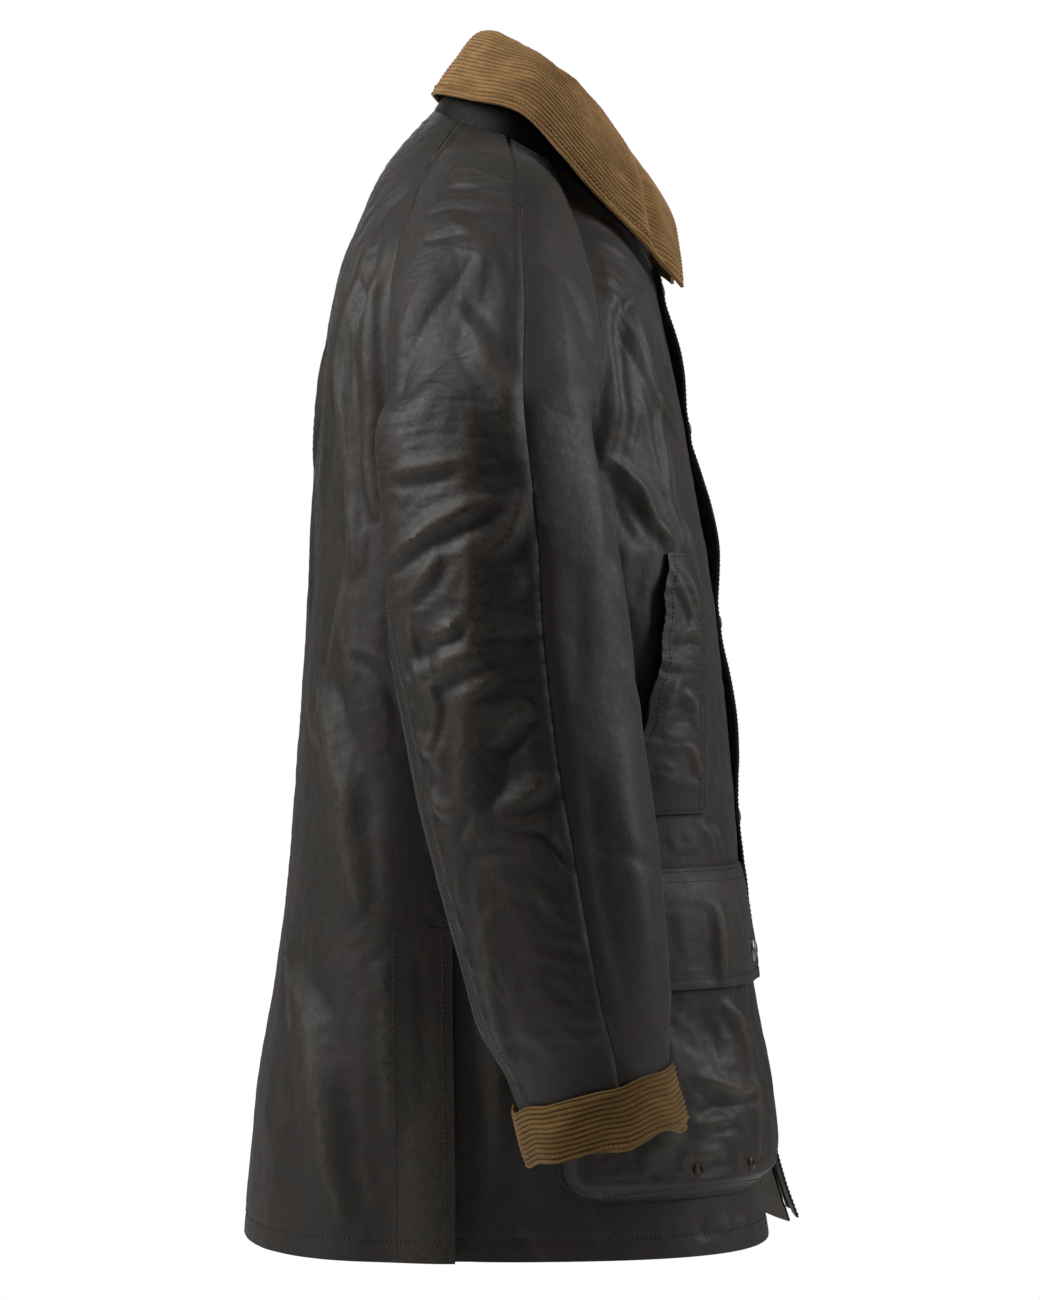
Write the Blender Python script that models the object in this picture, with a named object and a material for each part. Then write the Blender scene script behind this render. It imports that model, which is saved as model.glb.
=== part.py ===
"""Waxed cotton jacket, worn shape with nobody in it: raglan sleeves, corduroy collar and cuffs.

Metres, +Z up. The wearer faces -Y and the wearer's left is +X. The origin is at the neck, where the
jacket sits on the shoulders. Tables give the left half; the right half is its mirror image.
"""
import math
from collections import namedtuple

import bmesh
import bpy
import numpy as np

# ---------------------------------------------------------------- driving sizes
WAXED_WALL = 0.0016        # waxed cotton
CORD_WALL = 0.0026         # corduroy
SEAM_GAP = 0.0004          # between two pieces at a seam
EDGE_TRIM = 0.00026        # each piece is trimmed by this along its seams
CROTCH_TRIM = 0.0012       # and the sleeve's back piece by this more where it meets the underarm

FRONT_EDGE = 0.004         # each front stops this far from the middle
VENT_TOP = -0.581          # side vents run from here to the hem
VENT_LAP = 0.027           # the back laps this far over the front at a vent
VENT_STEP = 0.0015         # and the lap starts this far below the vent's top
VENT_TUCK = 0.0036         # the front is tucked this far in under the back

BACK_CELLS = 9             # columns of facets in half the back
FRONT_CELLS = 12
SLEEVE_BACK_CELLS = 6
SLEEVE_FRONT_CELLS = 9

POCKET_FIRST = 2           # the front's columns that carry the bellows pocket
POCKET_LAST = 9
PATCH_COLUMNS = (3, FRONT_CELLS - 2)   # and those that carry the handwarmer patch
SNAP_RADIUS = 0.0085
SNAP_HEIGHT = 0.0042
SNAP_CLEAR = 0.0007        # under a cap, over the cloth's slight curve
SNAP_SIDES = 12
EYELET_RADIUS = 0.0048
EYELET_HOLE = 0.0022
EYELET_HEIGHT = 0.0012
EYELET_SIDES = 10

# ---------------------------------------------------------------- the body
# Sections below the underarm: the side seam, the middle of the back and of the front, and how square
# the section is between them (2 is an ellipse).
Torso = namedtuple("Torso", "z side_x side_y back_y front_y back_square front_square")
TORSO = [
    Torso(-0.250, 0.2150, 0.026, 0.1380, -0.1330, 2.3, 2.9),
    Torso(-0.285, 0.2070, 0.040, 0.1395, -0.1385, 2.4, 3.1),
    Torso(-0.321, 0.2045, 0.050, 0.1410, -0.1455, 2.4, 3.3),
    Torso(-0.405, 0.2030, 0.060, 0.1455, -0.1560, 2.4, 3.4),
    Torso(-0.5015, 0.2020, 0.062, 0.1530, -0.1650, 2.4, 3.4),
    Torso(-0.567, 0.2040, 0.062, 0.1585, -0.1700, 2.4, 3.4),
    Torso(-0.622, 0.2070, 0.062, 0.1660, -0.1740, 2.4, 3.4),
    Torso(-0.700, 0.2110, 0.061, 0.1790, -0.1795, 2.5, 3.4),
    Torso(-0.765, 0.2135, 0.060, 0.1850, -0.1840, 2.5, 3.4),
    Torso(-0.805, 0.2150, 0.060, 0.1885, -0.1900, 2.5, 3.4),
]
AXIS_DROP = 0.02           # outward is measured from this far below each row
BODY_ROWS = [-0.285, -0.321, -0.360, -0.405, -0.450, -0.5015, -0.539, -0.567, VENT_TOP,
             -0.622, -0.670, -0.720, -0.765, -0.805]

# Above the underarm, row by row from the neck: the middle of the back and the front's inner edge, and
# how far round each panel has turned where it meets its raglan seam.
Yoke = namedtuple("Yoke", "back_y back_z back_bend front_x front_y front_z front_bend")
YOKE = [
    Yoke(0.0530, 0.004, 50, 0.068, -0.057, -0.058, 40),
    Yoke(0.0870, -0.036, 56, 0.052, -0.076, -0.074, 44),
    Yoke(0.1050, -0.075, 60, 0.030, -0.093, -0.090, 48),
    Yoke(0.1190, -0.112, 62, FRONT_EDGE, -0.105, -0.104, 52),
    Yoke(0.1270, -0.150, 64, FRONT_EDGE, -0.113, -0.140, 56),
    Yoke(0.1325, -0.190, 70, FRONT_EDGE, -0.121, -0.180, 62),
    Yoke(0.1360, -0.225, 80, FRONT_EDGE, -0.128, -0.217, 74),
    Yoke(0.1380, -0.250, 90, FRONT_EDGE, -0.133, -0.250, 90),
]

# The left front swings forward at its lower corner.
Swing = namedtuple("Swing", "z reach")
LEFT_SWING = [Swing(-0.250, 0.0), Swing(-0.650, 0.0), Swing(-0.720, 0.006), Swing(-0.805, 0.020)]
SWING_WIDTH = 0.11

# Largest folds of the panels: where each starts and ends (share of the way from the middle of the panel
# to its seam, and height), its half-width along the panel and how far it stands out.
Fold = namedtuple("Fold", "share_top z_top share_low z_low half_width height")
FOLD_ENDS = 0.7            # below 1, a fold rises fast at its ends
FOLD_FADE = 1 / 6          # share of the row over which all folds die out before the seam
BACK_FOLDS = [
    Fold(0.86, -0.13, 0.80, -0.33, 0.030, 0.006),
    Fold(0.52, -0.12, 0.62, -0.42, 0.034, 0.005),
    Fold(0.30, -0.40, 0.42, -0.60, 0.036, 0.004),
    Fold(0.60, -0.56, 0.50, -0.78, 0.036, 0.005),
]
FRONT_FOLDS = [
    Fold(0.80, -0.17, 0.55, -0.34, 0.034, 0.006),
    Fold(0.52, -0.13, 0.34, -0.40, 0.038, 0.004),
]

# ---------------------------------------------------------------- the sleeve
# The raglan seams and the crest over the shoulder, from the neck to the underarm, with the turn in
# degrees round the sleeve from its crest to each seam, and the turn at which the outer seam lies.
Raglan = namedtuple("Raglan", "crest_x crest_y crest_z back_x back_y back_z back_turn "
                              "front_x front_y front_z front_turn outer_turn")
RAGLAN = [
    Raglan(0.083, -0.003, -0.024, 0.060, 0.034, -0.010, 65, 0.079, -0.036, -0.043, 60, 0),
    Raglan(0.140, -0.002, -0.046, 0.098, 0.052, -0.042, 70, 0.104, -0.048, -0.080, 66, 6),
    Raglan(0.192, 0.001, -0.077, 0.135, 0.065, -0.078, 76, 0.134, -0.058, -0.113, 72, 11),
    Raglan(0.237, 0.004, -0.119, 0.168, 0.074, -0.114, 84, 0.162, -0.065, -0.146, 80, 14),
    Raglan(0.268, 0.006, -0.158, 0.191, 0.077, -0.152, 96, 0.184, -0.068, -0.180, 92, 16),
    Raglan(0.290, 0.008, -0.192, 0.206, 0.070, -0.192, 114, 0.201, -0.060, -0.212, 112, 17),
    Raglan(0.303, 0.009, -0.212, 0.2135, 0.051, -0.228, 142, 0.2115, -0.032, -0.239, 146, 18),
]

# Full rings from the underarm down: outermost and innermost points, half-width fore and aft, how much
# higher the front of the ring is per metre, and the turns of the outer and the inner seam.
Ring = namedtuple("Ring", "out_x out_y out_z in_x in_y in_z half lean outer_turn inner_turn")
RINGS = [
    Ring(0.311, 0.010, -0.224, 0.2150, 0.026, -0.250, 0.0730, 0.00, 19, -180),
    Ring(0.319, 0.006, -0.270, 0.2170, 0.012, -0.296, 0.0750, 0.05, 19, -128),
    Ring(0.328, 0.001, -0.318, 0.2180, 0.003, -0.338, 0.0785, 0.08, 18, -92),
    Ring(0.332, -0.004, -0.372, 0.2185, -0.004, -0.384, 0.0800, 0.12, 16, -76),
    Ring(0.335, -0.011, -0.424, 0.2210, -0.011, -0.432, 0.0780, 0.15, 15, -70),
    Ring(0.337, -0.020, -0.478, 0.2250, -0.020, -0.482, 0.0765, 0.17, 14, -68),
    Ring(0.338, -0.030, -0.530, 0.2310, -0.030, -0.532, 0.0735, 0.18, 14, -68),
    Ring(0.337, -0.039, -0.582, 0.2360, -0.039, -0.580, 0.0690, 0.18, 15, -68),
    Ring(0.334, -0.047, -0.628, 0.2395, -0.047, -0.624, 0.0640, 0.20, 17, -68),
    Ring(0.3295, -0.0560, -0.660, 0.2405, -0.0560, -0.656, 0.0545, 0.25, 19, -68),
    Ring(0.3282, -0.0610, -0.686, 0.2408, -0.0610, -0.684, 0.0492, 0.28, 20, -68),
]
CUFF_RINGS = [
    Ring(0.3330, -0.0590, -0.6785, 0.2360, -0.0590, -0.6785, 0.0545, 0.28, 20, -68),
    Ring(0.3320, -0.0640, -0.6980, 0.2365, -0.0640, -0.6980, 0.0548, 0.26, 20, -68),
    Ring(0.3305, -0.0690, -0.7170, 0.2375, -0.0690, -0.7170, 0.0540, 0.24, 20, -68),
]
SLEEVE_STATIONS = [0, 1, 2, 3, 4, 5, 6, 7, 7.5, 8, 8.5, 9, 9.5, 10, 11, 12, 13, 14, 15, 16, 17]
UNDERARM = 7               # the station where the sleeve becomes a full ring

# Largest folds of the sleeve round the elbow: station, turn, half-length in degrees, half-width in
# stations, and how far each stands out (a hollow is negative).
Crush = namedtuple("Crush", "station turn half_turn half_width height")
CRUSH_FALL = 1.4           # how fast it falls off past its half-sizes
SLEEVE_CRUSHES = [
    Crush(8.4, -45, 75, 0.55, -0.006),
    Crush(9.1, -50, 80, 0.50, 0.006),
    Crush(9.9, -40, 70, 0.50, -0.006),
    Crush(10.7, -60, 60, 0.60, 0.005),
    Crush(12.0, -60, 55, 0.60, -0.004),
    Crush(13.2, -20, 70, 0.60, 0.003),
]

# ---------------------------------------------------------------- the collar
# From the middle of the back to the middle of the front: the neck seam, the top of the roll, the lower
# edge of the fall, and how far the fall bellies out.
Collar = namedtuple("Collar", "neck_x neck_y neck_z roll_x roll_y roll_z edge_x edge_y edge_z belly")
COLLAR = [
    Collar(0.000, 0.053, 0.004, 0.000, 0.013, 0.063, 0.000, 0.054, 0.018, 0.002),
    Collar(0.034, 0.047, 0.000, 0.033, 0.009, 0.060, 0.043, 0.046, 0.013, 0.003),
    Collar(0.060, 0.034, -0.010, 0.056, -0.005, 0.051, 0.075, 0.026, 0.005, 0.004),
    Collar(0.083, -0.003, -0.024, 0.070, -0.028, 0.036, 0.101, -0.009, -0.006, 0.004),
    Collar(0.079, -0.036, -0.043, 0.069, -0.050, 0.020, 0.108, -0.041, -0.038, 0.005),
    Collar(0.068, -0.057, -0.058, 0.060, -0.067, 0.003, 0.103, -0.066, -0.066, 0.006),
    Collar(0.052, -0.076, -0.074, 0.046, -0.082, -0.016, 0.093, -0.088, -0.087, 0.007),
    Collar(0.030, -0.093, -0.090, 0.028, -0.093, -0.031, 0.077, -0.110, -0.108, 0.008),
    Collar(0.007, -0.105, -0.104, 0.008, -0.101, -0.040, 0.050, -0.129, -0.127, 0.008),
]
STAND_FOOT = 0.0016        # the stand starts this far above the neck seam
STAND_DROP = 0.0075        # and stops this far below the top of the roll
COLLAR_FOOT = 0.0032       # the collar's inside edge lies this far above the neck seam
COLLAR_INSIDE = 0.0048     # the collar's inside face lies this far inside the neck seam
COLLAR_BEND = (0.35, 0.70)  # shares of its height at which its inside bends
ROLL_HALF = 0.0046         # the roll reaches this far in from its crest
ROLL_OUTER = 0.0040        # and this far out
ROLL_SHOULDER = 0.0035     # and it turns down this far below its crest

# ---------------------------------------------------------------- fly, zip and pockets
FLY_ROOT_X = 0.020         # the fly is stitched to the left front here
FLY_EDGE_X = -0.045        # and its free edge lies here, over the right front
FLY_TOP = -0.110
FLY_FOOT = -0.796
FLY_SNAPS = [-0.128, -0.228, -0.368, -0.508, -0.648]
FLY_SNAP_X = -0.030
FLY_SWELLS = [0.0040, 0.0080, 0.0050, 0.0025]   # how far its free edge stands off between two snaps
FLY_SNAPPED = 0.0012       # and at a snap
FLY_FLAT = 0.012           # it lies flat this far above and below a snap
FLY_FLARE = 0.020          # and it flares this far at its foot
FLY_MIDDLE_X = -0.020      # it bends here on its way over the right front
FLY_STEP = 0.004           # its rows lie at least this far apart
ZIP_HALF = 0.015
ZIP_TOP = -0.112
ZIP_FOOT = -0.715
ZIP_WALL = 0.0018
ZIP_CLEAR = 0.0008         # it lies this far behind the fronts
ZIP_DEEP_TOP = -0.200      # and deeper above here, where the fronts curve away to the neck
ZIP_DEEP_SLOPE = 0.022

# Bellows pocket, row by row: height, and how far its middle stands off the front.
Lift = namedtuple("Lift", "z reach")
BAG_ROWS = [Lift(-0.560, 0.0080), Lift(-0.590, 0.0110), Lift(-0.622, 0.0125), Lift(-0.670, 0.0140),
            Lift(-0.720, 0.0140), Lift(-0.757, 0.0115), Lift(-0.765, 0.0021)]
FLAP_ROWS = [Lift(-0.539, 0.0021), Lift(-0.549, 0.0085), Lift(-0.563, 0.0120), Lift(-0.590, 0.0145),
             Lift(-0.622, 0.0155)]
SEWN_LIFT = 0.0021         # outer face of a piece sewn flat on a panel
BAG_EDGE = 0.12            # share of a column from the bag's sewn edge to the brow of its gusset
FLAP_SNAP_COLUMNS = [3.0, 8.0]
FLAP_SNAP_Z = -0.600
EYELET_COLUMNS = [4.5, 6.0]
EYELET_Z = -0.745

# Handwarmer patch: height, where its sewn front edge and its open rear edge lie (distance behind the
# wearer's front, as y), and how far the open edge stands off.
Patch = namedtuple("Patch", "z sewn_y open_y reach")
HANDWARMER = [
    Patch(-0.321, -0.128, -0.110, 0.0024), Patch(-0.340, -0.133, -0.111, 0.007),
    Patch(-0.360, -0.136, -0.112, 0.011), Patch(-0.405, -0.138, -0.108, 0.014),
    Patch(-0.450, -0.138, -0.098, 0.013), Patch(-0.485, -0.138, -0.085, 0.008),
    Patch(-0.5015, -0.138, -0.078, 0.0026),
]
PATCH_CELLS = 4
PATCH_LIFT = 0.0028        # its outer face where it is sewn
PATCH_STEEP = 1.25         # above 1, it is at its full reach before its open edge

# ---------------------------------------------------------------- colours (linear) and gloss
WAXED = ((0.034, 0.030, 0.026, 1.0), 0.5, 0.0)
WAXED_DARK = ((0.022, 0.019, 0.017, 1.0), 0.55, 0.0)
CORDUROY = ((0.22, 0.13, 0.06, 1.0), 0.85, 0.0)
TAPE = ((0.02, 0.018, 0.016, 1.0), 0.7, 0.0)
NICKEL = ((0.55, 0.54, 0.52, 1.0), 0.3, 1.0)
BRASS = ((0.45, 0.32, 0.14, 1.0), 0.35, 1.0)


# ---------------------------------------------------------------- curves and tables
def smooth(keys, values, at):
    """A smooth curve through the values that doesn't overshoot them."""
    keys = np.asarray(keys, float)
    values = np.asarray(values, float)
    if keys[0] > keys[-1]:
        keys = -keys
        at = -at
    step = np.diff(keys)
    slope = np.diff(values) / step
    tangent = np.zeros(len(keys))
    tangent[0] = slope[0]
    tangent[-1] = slope[-1]
    for i in range(1, len(keys) - 1):
        if slope[i - 1] * slope[i] > 0:
            tangent[i] = 2 * slope[i - 1] * slope[i] / (slope[i - 1] + slope[i])
    at = min(max(at, keys[0]), keys[-1])
    i = min(max(int(np.searchsorted(keys, at)) - 1, 0), len(step) - 1)
    t = (at - keys[i]) / step[i]
    return ((1 + 2 * t) * (1 - t) ** 2 * values[i] + t * t * (3 - 2 * t) * values[i + 1]
            + step[i] * t * (1 - t) * ((1 - t) * tangent[i] - t * tangent[i + 1]))


def column(table, name, at, key="z"):
    """A table's column read between its rows, by height."""
    return smooth([getattr(row, key) for row in table], [getattr(row, name) for row in table], at)


def unit(vector):
    """The same direction with a length of one."""
    return vector / max(np.linalg.norm(vector), 1e-12)


def spaced(points, shares):
    """Points at the given shares of a fine line's length."""
    run = np.concatenate([[0.0], np.cumsum(np.linalg.norm(np.diff(points, axis=0), axis=1))])
    return np.column_stack([np.interp(np.asarray(shares) * run[-1], run, points[:, k]) for k in range(3)])


def panel_row(middle, seam, bend, square, shares):
    """A panel's row from its middle to its seam, along a rounded-square section turned by bend."""
    angle = np.linspace(0.0, math.radians(bend), 80)
    power = 2.0 / square
    across = np.sin(angle) ** power / math.sin(math.radians(bend)) ** power
    cosine = np.clip(np.cos(angle), 0.0, 1.0) ** power
    back = (1 - cosine) / (1 - cosine[-1])
    middle = np.asarray(middle)
    span = np.asarray(seam) - middle
    line = middle + np.column_stack([span[0] * across, span[1] * back, span[2] * across])
    return spaced(line, shares)


def fold_height(folds, share, length, z):
    """How far the panel stands out at a share of its row, from all its folds."""
    total = 0.0
    for fold in folds:
        t = (fold.z_top - z) / (fold.z_top - fold.z_low)
        if 0.0 < t < 1.0:
            middle = fold.share_top + t * (fold.share_low - fold.share_top)
            off = (share - middle) * length / fold.half_width
            total += fold.height * math.sin(math.pi * t) ** FOLD_ENDS * math.exp(-2.0 * off * off)
    return total * min(1.0, (1.0 - share) / FOLD_FADE)


# ---------------------------------------------------------------- grids
def grid_normals(grid, outward_from):
    """Unit normals of a grid of points, facing away from outward_from (one point per row)."""
    down = np.gradient(grid, axis=0)
    across = np.gradient(grid, axis=1)
    normals = np.cross(across, down)
    normals /= np.maximum(np.linalg.norm(normals, axis=2, keepdims=True), 1e-12)
    away = grid - np.asarray(outward_from)[:, None, :]
    if (normals * away).sum() < 0:
        normals = -normals
    return normals


def mirrored(grid):
    """The same grid on the other side of the jacket."""
    return grid * np.array([-1.0, 1.0, 1.0])


def read_grid(grid, row, col):
    """A point between a grid's points."""
    i = min(int(row), grid.shape[0] - 2)
    j = min(int(col), grid.shape[1] - 2)
    s = row - i
    t = col - j
    upper = grid[i, j] * (1 - t) + grid[i, j + 1] * t
    lower = grid[i + 1, j] * (1 - t) + grid[i + 1, j + 1] * t
    return upper * (1 - s) + lower * s


def trimmed(grid, sides=("top", "foot", "start", "end"), trim=EDGE_TRIM):
    """How far each point of a grid moves when the grid is trimmed along the given sides."""
    move = np.zeros_like(grid)
    if "top" in sides:
        move[0] += trim * np.array([unit(v) for v in grid[1] - grid[0]])
    if "foot" in sides:
        move[-1] += trim * np.array([unit(v) for v in grid[-2] - grid[-1]])
    if "start" in sides:
        move[:, 0] += trim * np.array([unit(v) for v in grid[:, 1] - grid[:, 0]])
    if "end" in sides:
        move[:, -1] += trim * np.array([unit(v) for v in grid[:, -2] - grid[:, -1]])
    return move


# ---------------------------------------------------------------- solids
def finish(name, vertices, faces, look, smooth_shaded=True):
    """Make one closed object from points and faces, with its own material."""
    mesh = bpy.data.meshes.new(name)
    mesh.from_pydata([tuple(map(float, v)) for v in vertices], [], faces)
    work = bmesh.new()
    work.from_mesh(mesh)
    bmesh.ops.recalc_face_normals(work, faces=work.faces)
    if work.calc_volume(signed=True) < 0:
        bmesh.ops.reverse_faces(work, faces=work.faces)
    work.to_mesh(mesh)
    work.free()
    if smooth_shaded:
        mesh.shade_smooth()
        mesh.set_sharp_from_angle(angle=math.radians(50))
    colour, roughness, metallic = look
    material = bpy.data.materials.new(name)
    material.use_nodes = True
    shader = material.node_tree.nodes["Principled BSDF"]
    shader.inputs["Base Color"].default_value = colour
    shader.inputs["Roughness"].default_value = roughness
    shader.inputs["Metallic"].default_value = metallic
    mesh.materials.append(material)
    piece = bpy.data.objects.new(name, mesh)
    bpy.context.scene.collection.objects.link(piece)
    return piece


def wall(name, outer, inner, look, closed=False):
    """A closed wall between two grids of the same size; closed joins its last column to its first."""
    rows, cols = outer.shape[:2]
    count = rows * cols
    vertices = np.concatenate([outer.reshape(-1, 3), inner.reshape(-1, 3)])
    faces = []
    for i in range(rows - 1):
        for j in range(cols if closed else cols - 1):
            a = i * cols + j
            b = i * cols + (j + 1) % cols
            c = b + cols
            d = a + cols
            faces += [(a, b, c), (a, c, d)]
            faces += [(count + a, count + c, count + b), (count + a, count + d, count + c)]
    rim = []
    for j in range(cols if closed else cols - 1):
        nxt = (j + 1) % cols
        rim += [(nxt, j), ((rows - 1) * cols + j, (rows - 1) * cols + nxt)]
    if not closed:
        for i in range(rows - 1):
            rim += [(i * cols, (i + 1) * cols), ((i + 2) * cols - 1, (i + 1) * cols - 1)]
    for a, b in rim:
        faces += [(a, b, count + b), (a, count + b, count + a)]
    return finish(name, vertices, faces, look)


def frame_at(normal):
    """Two directions across a normal."""
    side = unit(np.cross(normal, [0.0, 0.0, 1.0]))
    return side, np.cross(side, normal)


def turned(name, centre, normal, profile, sides, look):
    """A round piece on a surface: profile is (radius, height) pairs from its axis or right round a ring."""
    normal = unit(normal)
    side, up = frame_at(normal)
    closed = profile[0][0] > 0
    vertices = []
    rings = []
    for radius, height in profile:
        base = centre + normal * height
        if radius == 0:
            rings.append([len(vertices)])
            vertices.append(base)
            continue
        rings.append(list(range(len(vertices), len(vertices) + sides)))
        for k in range(sides):
            angle = 2 * math.pi * k / sides
            vertices.append(base + radius * (math.cos(angle) * side + math.sin(angle) * up))
    pairs = list(zip(rings, rings[1:]))
    if closed:
        pairs.append((rings[-1], rings[0]))
    faces = []
    for lower, upper in pairs:
        for k in range(sides):
            nxt = (k + 1) % sides
            if len(lower) == 1:
                faces.append((lower[0], upper[k], upper[nxt]))
            elif len(upper) == 1:
                faces.append((lower[k], lower[nxt], upper[0]))
            else:
                faces.append((lower[k], lower[nxt], upper[nxt], upper[k]))
    return finish(name, vertices, faces, look)


# ---------------------------------------------------------------- form of each panel
def neck_points():
    """The left half of the neck seam, from the back to the front."""
    return np.array([(row.neck_x, row.neck_y, row.neck_z) for row in COLLAR])


def raglan_points(edge):
    """The left raglan seam on the sleeve's back or front edge, down to the underarm."""
    points = [[getattr(row, edge + axis) for axis in ("_x", "_y", "_z")] for row in RAGLAN]
    end = RINGS[0]
    return np.array(points + [[end.in_x, end.in_y, end.in_z]])


def with_folds(grid, folds, shares, reference):
    """Move a panel's points out by its folds."""
    normals = grid_normals(grid, reference)
    for i in range(1, grid.shape[0]):
        length = np.linalg.norm(np.diff(grid[i], axis=0), axis=1).sum()
        for j, share in enumerate(shares):
            grid[i, j] += normals[i, j] * fold_height(folds, share, length, grid[i, j, 2])
    return grid


def body_axis(grid):
    """A point inside the body for each row of a panel, a little below the row."""
    return np.array([[0.0, 0.0, row[:, 2].mean() - AXIS_DROP] for row in grid])


def back_half():
    """The left half of the back, from its middle (column 0) to its seam."""
    shares = np.linspace(0, 1, BACK_CELLS + 1)
    seam = raglan_points("back")
    neck = neck_points()
    rows = [spaced(neck[:3], shares)]
    for i in range(1, UNDERARM + 1):
        yoke = YOKE[i]
        square = TORSO[0].back_square
        rows.append(panel_row((0, yoke.back_y, yoke.back_z), seam[i], yoke.back_bend, square, shares))
    for z in BODY_ROWS:
        side = (column(TORSO, "side_x", z), column(TORSO, "side_y", z), z)
        middle = (0, column(TORSO, "back_y", z), z)
        rows.append(panel_row(middle, side, 90, column(TORSO, "back_square", z), shares))
    grid = np.array(rows)
    return with_folds(grid, BACK_FOLDS, shares, body_axis(grid))


def lapped(back, front):
    """The back with its vents: below their top it runs on over the front by the lap."""
    top = UNDERARM + 1 + BODY_ROWS.index(VENT_TOP)
    shares = np.linspace(0, 1, BACK_CELLS + 1)
    rows = list(back[:top + 1])
    for i in range(top, back.shape[0]):
        line = np.concatenate([back[i], front[i][::-1][1:]])
        run = np.concatenate([[0.0], np.cumsum(np.linalg.norm(np.diff(line, axis=0), axis=1))])
        reach = run[back.shape[1] - 1] + VENT_LAP
        edge = [np.interp(reach, run, line[:, k]) for k in range(3)]
        row = spaced(np.vstack([line[run < reach], edge]), shares)
        if i == top:
            row[:, 2] -= VENT_STEP
        rows.append(row)
    return np.array(rows)


def front_half():
    """The left front, from its middle edge (column 0) to its seam."""
    shares = np.linspace(0, 1, FRONT_CELLS + 1)
    seam = raglan_points("front")
    neck = neck_points()
    rows = []
    for i in range(UNDERARM + 1):
        yoke = YOKE[i]
        inner = neck[5 + i] if i < 3 else (FRONT_EDGE, yoke.front_y, yoke.front_z)
        square = TORSO[0].front_square
        if i == 0:
            rows.append(spaced(np.array([inner, seam[0]]), shares))
            continue
        rows.append(panel_row(inner, seam[i], yoke.front_bend, square, shares))
    for z in BODY_ROWS:
        side = (column(TORSO, "side_x", z), column(TORSO, "side_y", z), z)
        middle = (FRONT_EDGE, column(TORSO, "front_y", z), z)
        rows.append(panel_row(middle, side, 90, column(TORSO, "front_square", z), shares))
    grid = np.array(rows)
    return with_folds(grid, FRONT_FOLDS, shares, body_axis(grid))


def tucked(front):
    """The front with its rear edge tucked in under the back along the vent."""
    grid = front.copy()
    normals = grid_normals(grid, body_axis(grid))
    top = UNDERARM + 1 + BODY_ROWS.index(VENT_TOP)
    grid[top:, -2:] -= normals[top:, -2:] * VENT_TUCK
    return grid


def swung(front):
    """The left front with its lower middle corner swung forward."""
    grid = front.copy()
    for i in range(grid.shape[0]):
        for j in range(grid.shape[1]):
            x, _, z = grid[i, j]
            near = max(0.0, 1.0 - abs(x) / SWING_WIDTH)
            grid[i, j, 1] -= column(LEFT_SWING, "reach", min(z, LEFT_SWING[0].z)) * near * near
    return grid


Section = namedtuple("Section", "crest back_in back_half front_in front_half lean "
                                "outer_turn back_turn front_turn")


def head_section(row):
    """A sleeve section between the raglan seams, from its three points."""
    crest = np.array([row.crest_x, row.crest_y, row.crest_z])
    parts = []
    for seam, turn in (((row.back_x, row.back_y, row.back_z), row.back_turn),
                       ((row.front_x, row.front_y, row.front_z), row.front_turn)):
        span = np.array(seam) - crest
        angle = math.radians(turn)
        inward = np.array([span[0], 0.0, span[2]]) / (1 - math.cos(angle))
        parts.append((inward, abs(span[1]) / math.sin(angle)))
    return Section(crest, parts[0][0], parts[0][1], parts[1][0], parts[1][1], 0.0,
                   row.outer_turn, -row.back_turn, row.front_turn)


def ring_section(row):
    """A full sleeve ring."""
    crest = np.array([row.out_x, row.out_y, row.out_z])
    inward = (np.array([row.in_x, row.in_y, row.in_z]) - crest) / 2
    return Section(crest, inward, row.half, inward, row.half, row.lean,
                   row.outer_turn, row.inner_turn, row.inner_turn + 360)


def sleeve_sections():
    """All the sleeve's sections, one per whole station."""
    return [head_section(row) for row in RAGLAN] + [ring_section(row) for row in RINGS]


def section_at(sections, station):
    """A section between two stations."""
    stations = list(range(len(sections)))
    values = []
    for field in Section._fields:
        samples = [np.atleast_1d(getattr(section, field)).astype(float) for section in sections]
        read = [smooth(stations, [s[k] for s in samples], station) for k in range(len(samples[0]))]
        values.append(np.array(read) if len(read) > 1 else read[0])
    return Section(*values)


def round_sleeve(section, turn, swell=0.0):
    """The point of a section at a turn from its crest; positive turns go forwards."""
    angle = math.radians(turn)
    wrapped = (turn + 180.0) % 360.0 - 180.0
    ahead = wrapped > 0
    inward = section.front_in if ahead else section.back_in
    half = section.front_half if ahead else section.back_half
    point = section.crest + inward * (1 - math.cos(angle))
    aft = -half * math.sin(angle)
    point = point + np.array([0.0, aft, -section.lean * aft])
    if swell:
        centre = section.crest + inward
        point = point + unit(point - centre) * swell
    return point


def crush_height(station, turn):
    """How far the sleeve stands out at a place, from its crushes."""
    wrapped = (turn + 180.0) % 360.0 - 180.0
    total = 0.0
    for crush in SLEEVE_CRUSHES:
        along = (station - crush.station) / crush.half_width
        about = (wrapped - crush.turn) / crush.half_turn
        total += crush.height * math.exp(-CRUSH_FALL * (along * along + about * about))
    return total


def sleeve_half(back):
    """The left sleeve's back piece or front piece, rows from the neck to the cuff."""
    sections = sleeve_sections()
    neck = neck_points()
    cells = SLEEVE_BACK_CELLS if back else SLEEVE_FRONT_CELLS
    shares = np.linspace(0, 1, cells + 1)
    rows = [spaced(neck[2:4] if back else neck[3:5], shares)]
    for station in SLEEVE_STATIONS[1:]:
        section = section_at(sections, station)
        start = section.back_turn if back else section.outer_turn
        end = section.outer_turn if back else section.front_turn
        if station > UNDERARM and not back:
            end = section.back_turn + 360.0
        if station == UNDERARM:
            start = -180.0 if back else start
            end = end if back else 180.0
        turns = start + (end - start) * shares
        rows.append(np.array([round_sleeve(section, turn, crush_height(station, turn)) for turn in turns]))
    return np.array(rows)


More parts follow.
